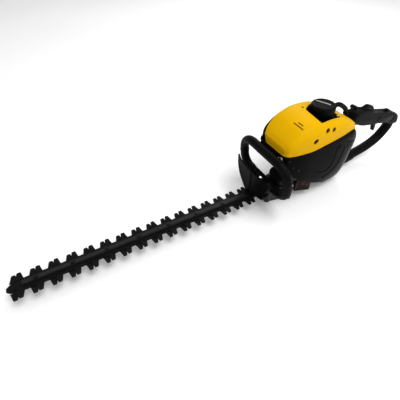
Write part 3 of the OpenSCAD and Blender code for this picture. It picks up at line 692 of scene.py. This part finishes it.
def orient_outward(piece, centre):
    """Turns an open sheet's faces away from a centre."""
    with editing(piece.data) as work:
        outward = sum(1 if f.normal.dot(f.calc_center_median() - centre) > 0 else -1
                      for f in work.faces)
        if outward < 0:
            bmesh.ops.reverse_faces(work, faces=work.faces)
    return piece


CAP_X = 72.0
RECESS_CORNERS = [(32.5, -40.0), (104.5, -30.0), (104.5, 28.9), (60.0, 28.9), (35.0, 15.0)]
CORNER_STEPS = 6


def recess_outline(inset, radius):
    """The filler recess in plan, drawn in by an inset, with rounded corners."""
    corners = [Vector((x - math.copysign(inset, x - CAP_X), y - math.copysign(inset, y)))
               for x, y in RECESS_CORNERS]
    outline = []
    for i, corner in enumerate(corners):
        before = (corners[i - 1] - corner).normalized()
        after = (corners[(i + 1) % len(corners)] - corner).normalized()
        start, end = corner + before * radius, corner + after * radius
        for k in range(CORNER_STEPS + 1):
            t = k / CORNER_STEPS
            spot = start * (1 - t) ** 2 + corner * 2 * t * (1 - t) + end * t * t
            outline.append((spot.x, spot.y))
    return outline


def seam_route(offset, drop):
    """The cover's lower edge as two lines: near side to the front, far side to the rear."""
    stations = [s for s in smooth(COVER_ROWS, 4) if SEAM_FRONT < s[0] < SEAM_REAR]
    near = [(x, -(COVER_HALF * share + offset), seam_height(x) - drop)
            for x, share, _ in reversed(stations)]
    return near, [(x, -y, z) for x, y, z in reversed(near)]


# Round holes in the cover's near side: x, z, radius. The last two hold a screw.
SIDE_HOLES = [(16.8, 183.4, 6.6), (44.7, 201.0, 5.6), (63.7, 198.4, 5.2)]
# Slots through the top: x, and y from and to
TOP_SLOTS = [(-12.6, -36.0, -5.0), (-6.4, -28.0, -12.0)]
SLOT_HALF = 1.5
NOTCH_HALF, NOTCH_TOP = 16, 162.4


def build_top_cover():
    rows = close_end(close_end(cover_surface(0.0), True, -1.2), False, 1.0)
    cover = orient_outward(sheet_mesh("cover_yellow", rows), Vector((0.06, 0.0, 0.16)))
    thicken(cover, WALL)
    cut(cover, upright(recess_outline(0.0, 6.0), 195.0, 250.0))
    rope_hole = turned("tool", [(6.5, -4.0), (6.5, 24.0)], (0, 0, 0), "Z", 32)
    cut(cover, put(rope_hole, (153, 0, 176), 60, "Y"))
    cut(cover, block((166, -NOTCH_HALF, 140), (200, NOTCH_HALF, NOTCH_TOP)))
    for x, z, radius in SIDE_HOLES:
        cut(cover, turned("tool", [(radius, -12.0), (radius, 12.0)], (x, -55, z), "-Y", 32))
    for x, y0, y1 in TOP_SLOTS:
        outline = rounded_rectangle(x - SLOT_HALF, x + SLOT_HALF, y0, y1, 1.45, 5)
        cut(cover, upright(outline, 205.0, 230.0))
    cut(cover, turned("tool", [(2.8, 215.0), (2.8, 230.0)], (35.0, 23.6, 0.0)))
    nose = link("nose", cover.data.copy())
    for shell, operation in ((nose, keep_inside), (cover, cut)):
        far_corner = block((-80, 0, -30), (-22, 60, 120))
        operation(shell, put(far_corner, (0, 24, COVER_BASE), -24, "X"))
    soften(cover, 0.9, 3, 38.0)
    stand_in(cover, "chassis", "top_cover", YELLOW, 40.0)
    nose.name = "cover_nose"
    finish_piece(nose, "chassis", BLACK_GLOSS, angle=40.0)
    near, far = seam_route(0.2, -1.6)
    y, z = near[-1][1:]
    front = [near[-1], (-53.0, 0.88 * y, z), (-53.6, 0.5 * y, z), (-53.6, 20.0, z)]
    rims = [tube("rim", side, 1.3, 12) for side in (near, far, front)]
    finish_piece(join(rims, "cover_rims"), "chassis", YELLOW)
    near, far = seam_route(1.2, 1.7)
    y, z = near[-1][1:]
    front = [(-54.0, 0.9 * y, z), (-55.0, 0.5 * y, z), (-55.0, -0.5 * y, z), (-54.0, -0.9 * y, z)]
    gasket = tube("cover_gasket", near + front + far, 1.9, 12)
    finish_piece(gasket, "chassis", RUBBER)
    # The side screws are dark partly as painted shade in the holes they sit in.
    for (x, z, _), radius in zip(SIDE_HOLES[1:], (5.2, 4.8)):
        head = [(0.1, -1.0), (radius - 1.3, -1.0), (radius - 0.9, -1.5), (radius - 0.2, -1.5),
                (radius - 0.1, -4.5), (0.1, -4.5)]
        screw = turned("cover_side_screw", head, (x, -51.5, z), "-Y", 28)
        finish_piece(screw, "chassis", DARK_STEEL)


def shroud_surface(columns=88):
    """Rows of points round the underside of the body, from the near seam down to the far seam."""
    rows = []
    stations = smooth(SHROUD_ROWS, 6)
    for x, share, low, high in stations:
        half, middle = COVER_HALF * share, high - SHROUD_SHOULDER
        seam = seam_height(x) - 0.5
        row = []
        for k in range(columns + 1):
            angle = math.pi - SHROUD_OPENING + (math.pi + 2 * SHROUD_OPENING) * k / columns
            across, up = bulge(angle, SHOULDER_SQUARENESS if math.sin(angle) > 0
                               else BELLY_SQUARENESS)
            z = middle + (SHROUD_SHOULDER * up if up > 0 else (middle - low) * up)
            row.append([x, half * across, min(z, seam)])
        rows.append(row)
    return rows


SHROUD_SIDE = [(-54, 162), (-54, 150), (-46, 126), (-25, 98), (12, 72), (31, 64), (53, 48),
               (74, 38), (93, 30), (110, 18), (126, 6), (128, -4), (210, -4), (210, 155),
               (158, 163), (142, 172.1), (120, 172.7), (75, 167.3), (50, 163.5), (32, 159.7),
               (15, 157.7), (-20, 157.8)]
INTAKE_WINDOW = ((60, 40, 78), (139, 70, 148))
SLAT_COUNT, SLAT_WIDTH, SLAT_DROP, SLAT_SLANT = 4, 3.4, 24, 4.0


def build_shrouds():
    rows = close_end(shroud_surface(), False, 2.0)
    for side, name, node in ((-1, "shroud_near", "shroud_left"), (1, "shroud_far", "shroud_right")):
        shell = orient_outward(sheet_mesh(name, rows), Vector((0.06, 0.0, 0.09)))
        thicken(shell, WALL)
        keep_inside(shell, prism(SHROUD_SIDE, *half_span(side, 0.1, 70)))
        cut(shell, turned("tool", [(13.0, -10.0), (13.0, 60.0)], (150, 0, 18), "X", 40))
        cut(shell, block((166, -NOTCH_HALF, 146.6), (200, NOTCH_HALF, NOTCH_TOP)))
        if side > 0:
            cut(shell, block(*INTAKE_WINDOW))
        else:
            for k in range(SLAT_COUNT):
                x, z = 131.0 + 8.5 * k, 150.0 - 2.0 * k
                foot, low = x + SLAT_SLANT, z - SLAT_DROP
                outline = [(x, z), (x + SLAT_WIDTH, z), (foot + SLAT_WIDTH, low), (foot, low)]
                cut(shell, prism(outline, -70, -36))
        soften(shell, 0.8, 2, 40.0)
        stand_in(shell, "chassis", node, BLACK_GLOSS, 40.0)


build_top_cover()
build_shrouds()


# Raised lines: (x, z) spots, radius and y
SHROUD_LINES = [
    ([(99, 140), (103, 120), (104, 96), (99, 80), (84, 74), (50, 84), (16, 108)], 1.3, -54.6),
    ([(126, 137), (131, 112), (128, 84), (116, 62), (90, 48)], 1.1, -53.4)]
SHROUD_SCREWS = [(-40, -48.6, 146), (-26, -51.0, 126), (-8, -53.0, 112)]
SHROUD_SCREW_HEAD = [(0.1, 0.6), (1.4, 0.6), (1.6, 1.6), (2.6, 1.4), (3.0, 0.4), (3.0, -1.5)]


def build_side_details():
    """Raised lines, a cable boss and small screws on the near side of the shroud."""
    lines = [tube("line", smooth([(x, y, z) for x, z in spots], 6), radius, 10)
             for spots, radius, y in SHROUD_LINES]
    finish_piece(join(lines, "shroud_lines"), "chassis", BLACK_GLOSS)
    boss = turned("shroud_boss", [(0.2, 2.2), (3.0, 2.6), (5.2, 1.4), (6.2, -1.0), (6.2, -3.0)],
                  (108, -54.0, 139.5), "-Y", 32)
    finish_piece(boss, "chassis", GUARD_GREY)
    for place in SHROUD_SCREWS:
        screw = turned("shroud_screw", SHROUD_SCREW_HEAD, place, "-Y", 24)
        finish_piece(screw, "chassis", DARK_STEEL)


build_side_details()


# ---- Fuel filler ----

def build_recess_tray():
    tray = upright(recess_outline(0.6, 5.5), 203.0, 240.0)
    dome = sheet_mesh("dome", close_end(close_end(cover_surface(1.6), True, 0.0), False, 0.0))
    with editing(dome.data) as work:
        bmesh.ops.holes_fill(work, edges=work.edges, sides=0)
        bmesh.ops.recalc_face_normals(work, faces=work.faces)
    keep_inside(tray, dome)
    cut(tray, upright(recess_outline(2.4, 4.0), 206.0, 260.0))
    cut(tray, turned("tool", [(16.5, 190.0), (16.5, 260.0)], (CAP_X, 0, 0)))
    soften(tray, 0.5, 2, 40.0)
    tray.name = "filler_tray"
    stand_in(tray, "chassis", "cap_plate", BLACK_SATIN)


CAP_RADIUS, CAP_RIBS, PER_RIB, RIB_DEPTH = 26.0, 30, 6, 0.9


def build_fuel_cap():
    """A ribbed round cap with a raised bar across its top."""
    sides = CAP_RIBS * PER_RIB
    # Height and offset from the cap's radius, from the bottom edge round to the inner top
    heights = [(207.0, 0.0), (207.2, 0.8), (209.0, 1.2), (226.5, 1.2), (229.3, 0.9), (231.0, 0.0),
               (231.9, -1.4), (232.2, -3.0), (232.2, -5.0), (231.2, -6.0), (231.0, -14.0)]
    points = []
    for row, (z, offset) in enumerate(heights):
        for k in range(sides):
            a = 2 * math.pi * k / sides
            wave = 0.5 - 0.5 * math.cos(2 * math.pi * k / PER_RIB)
            knurl = RIB_DEPTH * wave if 1 < row < 5 else 0.0
            r = CAP_RADIUS + offset - knurl
            points.append((CAP_X + r * math.cos(a), r * math.sin(a), z))
    cap = from_lists("cap_ribbed", points, ring_faces(len(heights), sides))
    cut(cap, turned("tool", [(16.3, 200.0), (16.3, 214.2)], (CAP_X, 0, 0)))
    stand_in(cap, "cap", "fuel_cap", BLACK_SATIN)
    # The bar's pale grey is partly the cap's white print and partly a painted highlight along its
    # top.
    bar = soften(upright(rounded_rectangle(-1.5, 1.5, -18.0, 18.0, 1.4, 5), 230.0, 232.3), 0.5, 2)
    put(bar, (74.5, 6.0, 0), 25, "Z")
    bar.name = "cap_bar"
    finish_piece(bar, "cap", PRINT_AND_HIGHLIGHT_GREY)


build_recess_tray()
build_fuel_cap()


# ---- Front handle and guard ----

LOOP_LEAN = math.radians(9.1)
LOOP_HALF, TOP_BEND, LOW_BEND, LOOP_DROP = 82.0, 38.0, 29.0, 87.0
LOOP_RADIUS, FOOT_RADIUS, FOOT_TAPER, BEND_STEPS = 10.5, 10.3, 3.8, 12
# The points of the half loop that have a collar
COLLAR_SPOTS = (22, 37)


def loop_spot(y, drop):
    """A point of the leaning loop: sideways, and down from its top."""
    return (-71 + drop * math.sin(LOOP_LEAN), y, 150 - drop * math.cos(LOOP_LEAN))


def build_front_handle():
    """The loop from its middle down the far side, then mirrored, with a collar at each bend."""
    flat, upright_length = LOOP_HALF - TOP_BEND, LOOP_DROP - LOW_BEND - TOP_BEND
    quarter = [math.radians(90 * k / BEND_STEPS) for k in range(BEND_STEPS + 1)]
    half = [loop_spot(flat * k / 8, 0) for k in range(8)]
    half += [loop_spot(flat + TOP_BEND * math.sin(a), TOP_BEND * (1 - math.cos(a)))
             for a in quarter]
    half += [loop_spot(LOOP_HALF, TOP_BEND + upright_length * k / 5) for k in range(1, 5)]
    half += [loop_spot(LOOP_HALF - LOW_BEND * (1 - math.cos(a)),
                       LOOP_DROP - LOW_BEND * (1 - math.sin(a))) for a in quarter]
    radii = [LOOP_RADIUS] * len(half)
    foot = smooth([(-57.3, 45, 64), (-54.5, 38.5, 58.5), (-49.5, 34.5, 50), (-44, 32.5, 41.5),
                   (-42, 29.6, 37), (-42, 25.8, 37)], 3)
    half += [tuple(p) for p in foot]
    radii += [FOOT_RADIUS - FOOT_TAPER * k / (len(foot) - 1) for k in range(len(foot))]
    route = [(x, -y, z) for x, y, z in reversed(half[1:])] + half
    handle = tube("loop_handle", route, radii[:0:-1] + radii, 28, False)
    stand_in(handle, "chassis", "front_handle", GRIP)
    collars = []
    for side in (-1, 1):
        for index in COLLAR_SPOTS:
            centre = Vector(half[index])
            ahead = (Vector(half[index + 1]) - centre).normalized()
            spots = [centre + ahead * d for d in (-2.6, -1.6, 1.6, 2.6)]
            collars.append(tube("collar", [(p.x, side * p.y, p.z) for p in spots],
                                [10.3, 11.1, 11.1, 10.3], 28, False))
    finish_piece(join(collars, "loop_collars"), "chassis", BLACK_SATIN)


# The guard's lower and upper edges: height at each distance from the middle
GUARD_LOW = [(0, 41), (13, 41), (30, 54), (44, 66), (54, 80), (60, 94), (63.2, 106), (64, 110)]
GUARD_TOP = [(0, 105.5), (35, 105.5), (48, 106.5), (56, 110.5), (60, 114), (64, 110.6)]
GUARD_HALF, GUARD_COLUMNS, GUARD_ROWS = 63.8, 48, 14
GUARD_FRONT, GUARD_SWEEP, GUARD_HOLLOW = -99.8, 0.0011, 1.2


def build_guard():
    low_edge, top_edge = smooth(GUARD_LOW, 5), smooth(GUARD_TOP, 5)
    rows = []
    for k in range(GUARD_COLUMNS + 1):
        y = -GUARD_HALF + 2 * GUARD_HALF * k / GUARD_COLUMNS
        reach = abs(y)
        low, high = between(low_edge, reach)[0], between(top_edge, reach)[0]
        row = []
        for j in range(GUARD_ROWS + 1):
            z = low + (max(high, low + 0.4) - low) * j / GUARD_ROWS
            sweep = GUARD_SWEEP * reach ** 2 + GUARD_HOLLOW * math.sin(math.pi * j / GUARD_ROWS)
            row.append([GUARD_FRONT + sweep, y, z])
        rows.append(row)
    shield = sheet_mesh("guard_shield", rows)
    thicken(shield, 2.8, 0.0, False)
    soften(shield, 0.9, 3, 40.0)
    fold = tube("fold", [(-101.0, 0, 44), (-100.4, 0, 76), (-101.0, 0, 104)], [1.5, 1.7, 1.5], 12)
    foot = block((-100, -12, 44), (-60, 12, 47))
    pad = block((-62, -25, 44), (-40, 25, 47))
    webs = [prism([(-98.5, 46), (-60, 46), (-98.5, 9)], y, y + 3) for y in (-11, 8)]
    stays = [block((-62.2, y, 44), (-55.2, y + 3, 73)) for y in (-24, 21)]
    bar = tube("bar", [(-58.7, y, 73) for y in (-36, -30, 0, 30, 36)], 5, 20)
    for part in [foot, pad] + webs + stays:
        soften(part, 0.7, 2, 40.0)
    for part in (foot, pad):
        for y in (-20, 20):
            cut(part, turned("tool", [(4.4, 40.0), (4.4, 50.0)], (-49, y, 0)))
    shield = join([shield, fold, foot, pad, bar] + webs + stays, "hand_shield")
    stand_in(shield, "chassis", "hand_guard", GUARD_GREY)


build_front_handle()
build_guard()


# ---- Rear handle ----

HOUSING = [(172, 149), (172, 160), (184, 163), (187, 173), (193, 180), (203, 184.5), (213, 185),
           (224, 181.5), (242, 177), (262, 167), (292, 158), (342, 147), (365, 139), (378, 130),
           (385.5, 117), (387, 104), (361, 104), (354, 110), (326, 119), (296, 126.5), (284, 127),
           (272, 130), (256, 132.5), (240, 135.5), (222, 141), (206, 148), (192, 150)]
CAVITY = [(196, 156), (198, 168), (206, 174), (222, 176), (241, 172), (261, 163), (291, 155),
          (341, 144), (363, 136), (375, 128), (382, 116), (383.5, 107), (363, 107), (355, 113),
          (327, 122), (293, 132), (263, 140), (241, 142), (222, 146), (206, 152)]
# Slots for the trigger, the lock and the switch, each from its low to its high corner
CONTROL_SLOTS = [((262, -6, 100), (314, 6, 145)), ((211, -7, 160), (268, 7, 190)),
                 ((322, -6, 135), (340, 6, 160))]
GRIP_HALF, GRIP_WALL, GRIP_EDGE = 15.5, 3.2, 5.0
# Screws: x, z, and how far they stand out
HOUSING_SCREWS = [(205, 158, 0.0), (250, 150, 0.0), (300, 145, 0.0), (362, 122, 0.3)]


def build_throttle_housing():
    for side, node in ((-1, "throttle_housing_left"), (1, "throttle_housing_right")):
        shell = prism(HOUSING, *half_span(side, 0.0, GRIP_HALF))
        with editing(shell.data) as work:
            rim = [e for e in work.edges
                   if all(abs(abs(v.co.y) - GRIP_HALF * MM) < 1e-6 for v in e.verts)]
            bmesh.ops.bevel(work, geom=rim, offset=GRIP_EDGE * MM, segments=6, profile=0.5,
                            affect="EDGES", clamp_overlap=True)
        soften(shell, 2.2, 3, 14.0)
        cut(shell, prism(CAVITY, *half_span(side, -1.0, GRIP_HALF - GRIP_WALL)))
        for low, high in CONTROL_SLOTS:
            cut(shell, block(low, high))
        y0, y1 = half_span(side, 0.1, GRIP_HALF + 5)
        keep_inside(shell, block((150, y0, 90), (400, y1, 200)))
        stand_in(shell, "chassis", node, BLACK_GRAIN, 30.0)
    panel = prism([(282, 152), (330, 142.5), (350, 138), (352, 126), (338, 122), (296, 133.5),
                   (284, 137)], -GRIP_HALF - 0.6, -GRIP_HALF + 1.0)
    soften(panel, 0.5, 2, 30.0)
    finish_piece(panel, "chassis", BLACK_SATIN)
    ring = turned("housing_rings", [(9.5, -0.5), (9.5, 0.9), (8.0, 1.1), (7.6, 0.4), (0.1, 0.4)],
                  (362, -GRIP_HALF + 0.1, 122), "-Y", 36)
    finish_piece(ring, "chassis", BLACK_SATIN)
    head = [(0.1, 0.5), (1.5, 0.5), (1.7, 1.2), (3.0, 1.0), (3.2, -1.0)]
    screws = [turned("screw", head, (x, -GRIP_HALF - raised, z), "-Y", 24)
              for x, z, raised in HOUSING_SCREWS]
    finish_piece(join(screws, "housing_screws"), "chassis", DARK_STEEL)


REAR_ROUTE = [(57, 18), (90, 18), (140, 18), (190, 18), (235, 21), (273, 28), (306, 35),
              (331, 44), (352, 57), (365, 73), (373, 89), (374, 103.8)]
SLEEVE_FRONT, SLEEVE_REAR, SLEEVE_DEPTH = 206, 262, 1.9


def build_rear_tube():
    route = smooth([(x, 0.0, z) for x, z in REAR_ROUTE], 8)
    radii = []
    for x, _, z in route:
        sleeve = SLEEVE_DEPTH if SLEEVE_FRONT < x < SLEEVE_REAR else 0.0
        radii.append(12.7 + sleeve if z < 100 else 12.3)
    rear_tube = tube("rear_tube", route, radii, 28, False)
    stand_in(rear_tube, "chassis", "rear_handle_tube", GRIP)


TRIGGER = [(265, 150), (278, 150), (292, 140), (302, 128), (310, 108), (312, 98), (307, 96),
           (303, 104), (294, 118), (280, 132), (266, 141)]
LOCK = [(210.8, 171), (216, 183), (236, 190), (254, 184), (266, 171), (262, 169), (240, 172),
        (218, 164)]


# Where each control's pivot pin crosses: x, z
TRIGGER_PIVOT, LOCK_PIVOT, SWITCH_PIVOT = (270, 146), (214, 168), (331, 144)
SWITCH_TILT = 12


def pin(pivot):
    return crossbar(*pivot, 13.5, 2.0, 16)


def build_controls():
    """The trigger, the lock above it and the stop switch, each on its pivot pin."""
    lever = soften(prism(TRIGGER, -4.5, 4.5), 1.3, 4, 12.0)
    lever = join([lever, pin(TRIGGER_PIVOT)], "throttle_lever")
    stand_in(lever, "trigger", "throttle_trigger", BLACK_SATIN)
    parts = [soften(prism(LOCK, -5.5, 5.5), 1.5, 4, 12.0), pin(LOCK_PIVOT)]
    parts += [crossbar(219.0 + 3.6 * k, 183.8 + 1.26 * k, 4.0, 0.8, 10) for k in range(5)]
    stand_in(join(parts, "lock_lever"), "lock", "trigger_lock", BLACK_SATIN)
    rocker = join([soften(block((-6.5, -4.5, -3), (6.5, 4.5, 10.2)), 1.4, 4),
                   crossbar(0, 10.1, 3.0, 0.7, 10)], "switch_rocker")
    x, z = SWITCH_PIVOT
    put(rocker, (x, 0, z), SWITCH_TILT, "Y")
    rocker = join([rocker, pin(SWITCH_PIVOT)], "switch_rocker")
    stand_in(rocker, "switch", "stop_switch", BLACK_SATIN)


build_throttle_housing()
build_rear_tube()
build_controls()


def build_filter_cover():
    """The rounded cover over the air filter, with grooves and a turning knob."""
    cover = soften(prism(rounded_rectangle(62, 116, 80, 138, 8, 8), 58, 91), 5.0, 6, 30.0)
    cut(cover, block((50, 50, 70), (130, 67, 150)))
    cut(cover, prism(rounded_rectangle(64.5, 113.5, 82.5, 135.5, 6, 6), 50, 86))
    for z in (88, 93, 125, 130):
        cut(cover, block((72, 89.6, z - 0.9), (106, 96, z + 0.9)))
    soften(cover, 0.5, 2, 40.0)
    cover.name = "filter_cover"
    stand_in(cover, "chassis", "air_filter_cover", BLACK_SATIN)
    disc = turned("disc", [(0.2, 1.0), (12.0, 1.0), (12.0, -0.4), (11.2, -0.9), (0.2, -0.9)],
                  (89, 90.7, 109), "-Y", 40)
    wing = soften(prism(rounded_rectangle(80, 98, 107.2, 110.8, 1.7, 5), 91, 92.4), 0.4, 2)
    finish_piece(join([disc, wing], "filter_knob"), "chassis", MOULDED_BLACK)


build_filter_cover()


# ---- Starter ----

PULL_SLOPE = math.radians(20)
ROPE_STEPS = 60
ARM_ROUTE = [(106.5, 0, 199), (107.5, 0, 210), (114, 0, 218.5), (126, 0, 217), (139, 0, 210),
             (151, 0, 201.5), (157.5, 0, 194.5), (159, 0, 189)]


def build_starter():
    """The pull grip, the rope under it, and the arm with the eyelet it runs through."""
    along = Vector((math.cos(PULL_SLOPE), 0, math.sin(PULL_SLOPE)))
    base = Vector((167, 0, 188))
    stem = tube("stem", [base + along * d for d in (0, 3, 8, 14, 19)],
                [4.4, 4.0, 3.2, 3.4, 4.2], 20)
    centre = base + along * 20
    bar = tube("bar", [centre + Vector((0, y, 0)) for y in (-10, -7, 0, 7, 10)],
               [4.2, 4.8, 5.0, 4.8, 4.2], 20)
    stand_in(join([stem, bar], "pull_handle"), "grip", "starter_grip", BLACK_SATIN)
    start, end = base - along * 14, base + along * 2
    spots = [start + (end - start) * k / ROPE_STEPS for k in range(ROPE_STEPS + 1)]
    rope = tube("pull_rope", spots, 1.6, 12, False)
    rope.data.materials.append(CORD)
    for face in rope.data.polygons:
        face.use_smooth = True
    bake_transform(rope)
    arm = tube("rope_arm", smooth(ARM_ROUTE, 5), 5.2, 20)
    finish_piece(arm, "chassis", BLACK_SATIN)
    eyelet = turned("rope_eyelet", [(2.2, 0.0), (2.6, 1.2), (4.6, 2.2), (6.8, 1.6), (7.2, 0.0),
                                    (6.2, -3.0), (2.2, -3.0)], (0, 0, 0), "Z", 32)
    put(eyelet, base - along * 6.0, 52, "Y")
    finish_piece(eyelet, "chassis", BLACK_SATIN)


build_starter()


# ---- Exhaust grille ----

GRILLE_LOW, GRILLE_HIGH, GRILLE_HALF, GRILLE_SLANT = 1.5, 34.5, 18.5, 0.45


def build_exhaust_grille():
    """Bars slanted both ways over the exhaust box, made in the box's own leaning frame."""
    middle, rise = (GRILLE_LOW + GRILLE_HIGH) / 2, GRILLE_HIGH - GRILLE_LOW
    bars = []
    for direction in (1, -1):
        y = -7.6 - 0.25 * direction
        for k in range(-3, 9):
            spots = []
            for t in (0, 0.25, 0.5, 0.75, 1.0):
                z = GRILLE_LOW + rise * t
                x = -18 + 5.0 * k + direction * (z - middle) * GRILLE_SLANT
                if abs(x) <= GRILLE_HALF:
                    spots.append((x, y, z))
            if len(spots) > 1:
                bars.append(tube("wire", spots, 0.9, 8))
    grille = put(join(bars, "exhaust_grille"), (43, -36, 18), -18, "Z")
    finish_piece(grille, "chassis", STAINED)


build_exhaust_grille()


# ---- Floor, light and camera ----

FLOOR_HALF, FLOOR_GAP = 6.0, 0.0002


def build_stage():
    mesh = bpy.data.meshes.new("floor")
    mesh.from_pydata([(x * FLOOR_HALF, y * FLOOR_HALF, 0)
                      for x, y in ((-1, -1), (1, -1), (1, 1), (-1, 1))], [], [(0, 1, 2, 3)])
    floor = link("floor", mesh)
    floor.location.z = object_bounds()[0][2] - FLOOR_GAP
    material, tree, shader = new_material("pale_floor")
    tone = ramp(tree, noise(tree, object_coordinates(tree), 2.0),
                [(0.3, (0.92, 0.92, 0.92)), (0.7, (0.95, 0.95, 0.95))])
    tree.links.new(tone, shader.inputs["Base Color"])
    set_inputs(shader, Roughness=0.9, Specular_IOR_Level=0.1,
               Emission_Color=(1.0, 1.0, 1.0, 1.0), Emission_Strength=0.12)
    mesh.materials.append(material)


def add_area(name, place, target, size, power):
    data = bpy.data.lights.new(name, "AREA")
    data.shape = "DISK"
    data.size = size
    data.energy = power
    lamp = bpy.data.objects.new(name, data)
    bpy.context.scene.collection.objects.link(lamp)
    lamp.location = place
    lamp.rotation_euler = (Vector(target) - Vector(place)).to_track_quat("-Z", "Y").to_euler()


def build_light():
    add_area("key", (0.3, -0.6, 2.4), (0.0, 0.0, 0.1), 1.5, 31.0)
    add_area("fill", (0.9, -1.9, 1.3), (-0.1, 0.0, 0.1), 1.2, 7.0)
    add_area("rim", (1.2, 1.6, 1.6), (0.1, 0.0, 0.1), 1.0, 11.0)
    world = bpy.data.worlds.new("studio")
    bpy.context.scene.world = world
    world.use_nodes = True
    background = next(n for n in world.node_tree.nodes if n.type == "BACKGROUND")
    set_inputs(background, Color=(1.0, 1.0, 1.0, 1.0), Strength=0.58)


CAMERA_TURN = (43.65785, -0.36316, -27.97112)
CAMERA_PLACE = (-447.93, -394.12, 544.73)


def build_camera():
    data = bpy.data.cameras.new("view")
    data.sensor_width = 36.0
    data.lens = 26.1
    data.clip_start = 0.01
    camera = bpy.data.objects.new("view", data)
    bpy.context.scene.collection.objects.link(camera)
    turn = Euler([math.radians(a) for a in CAMERA_TURN]).to_matrix().to_4x4()
    camera.matrix_world = Matrix.Translation(Vector(CAMERA_PLACE) * MM) @ turn
    bpy.context.scene.camera = camera


build_stage()
build_light()
build_camera()
look = bpy.context.scene.view_settings
look.view_transform = "Standard"
look.exposure = 0.0
look.gamma = 0.82
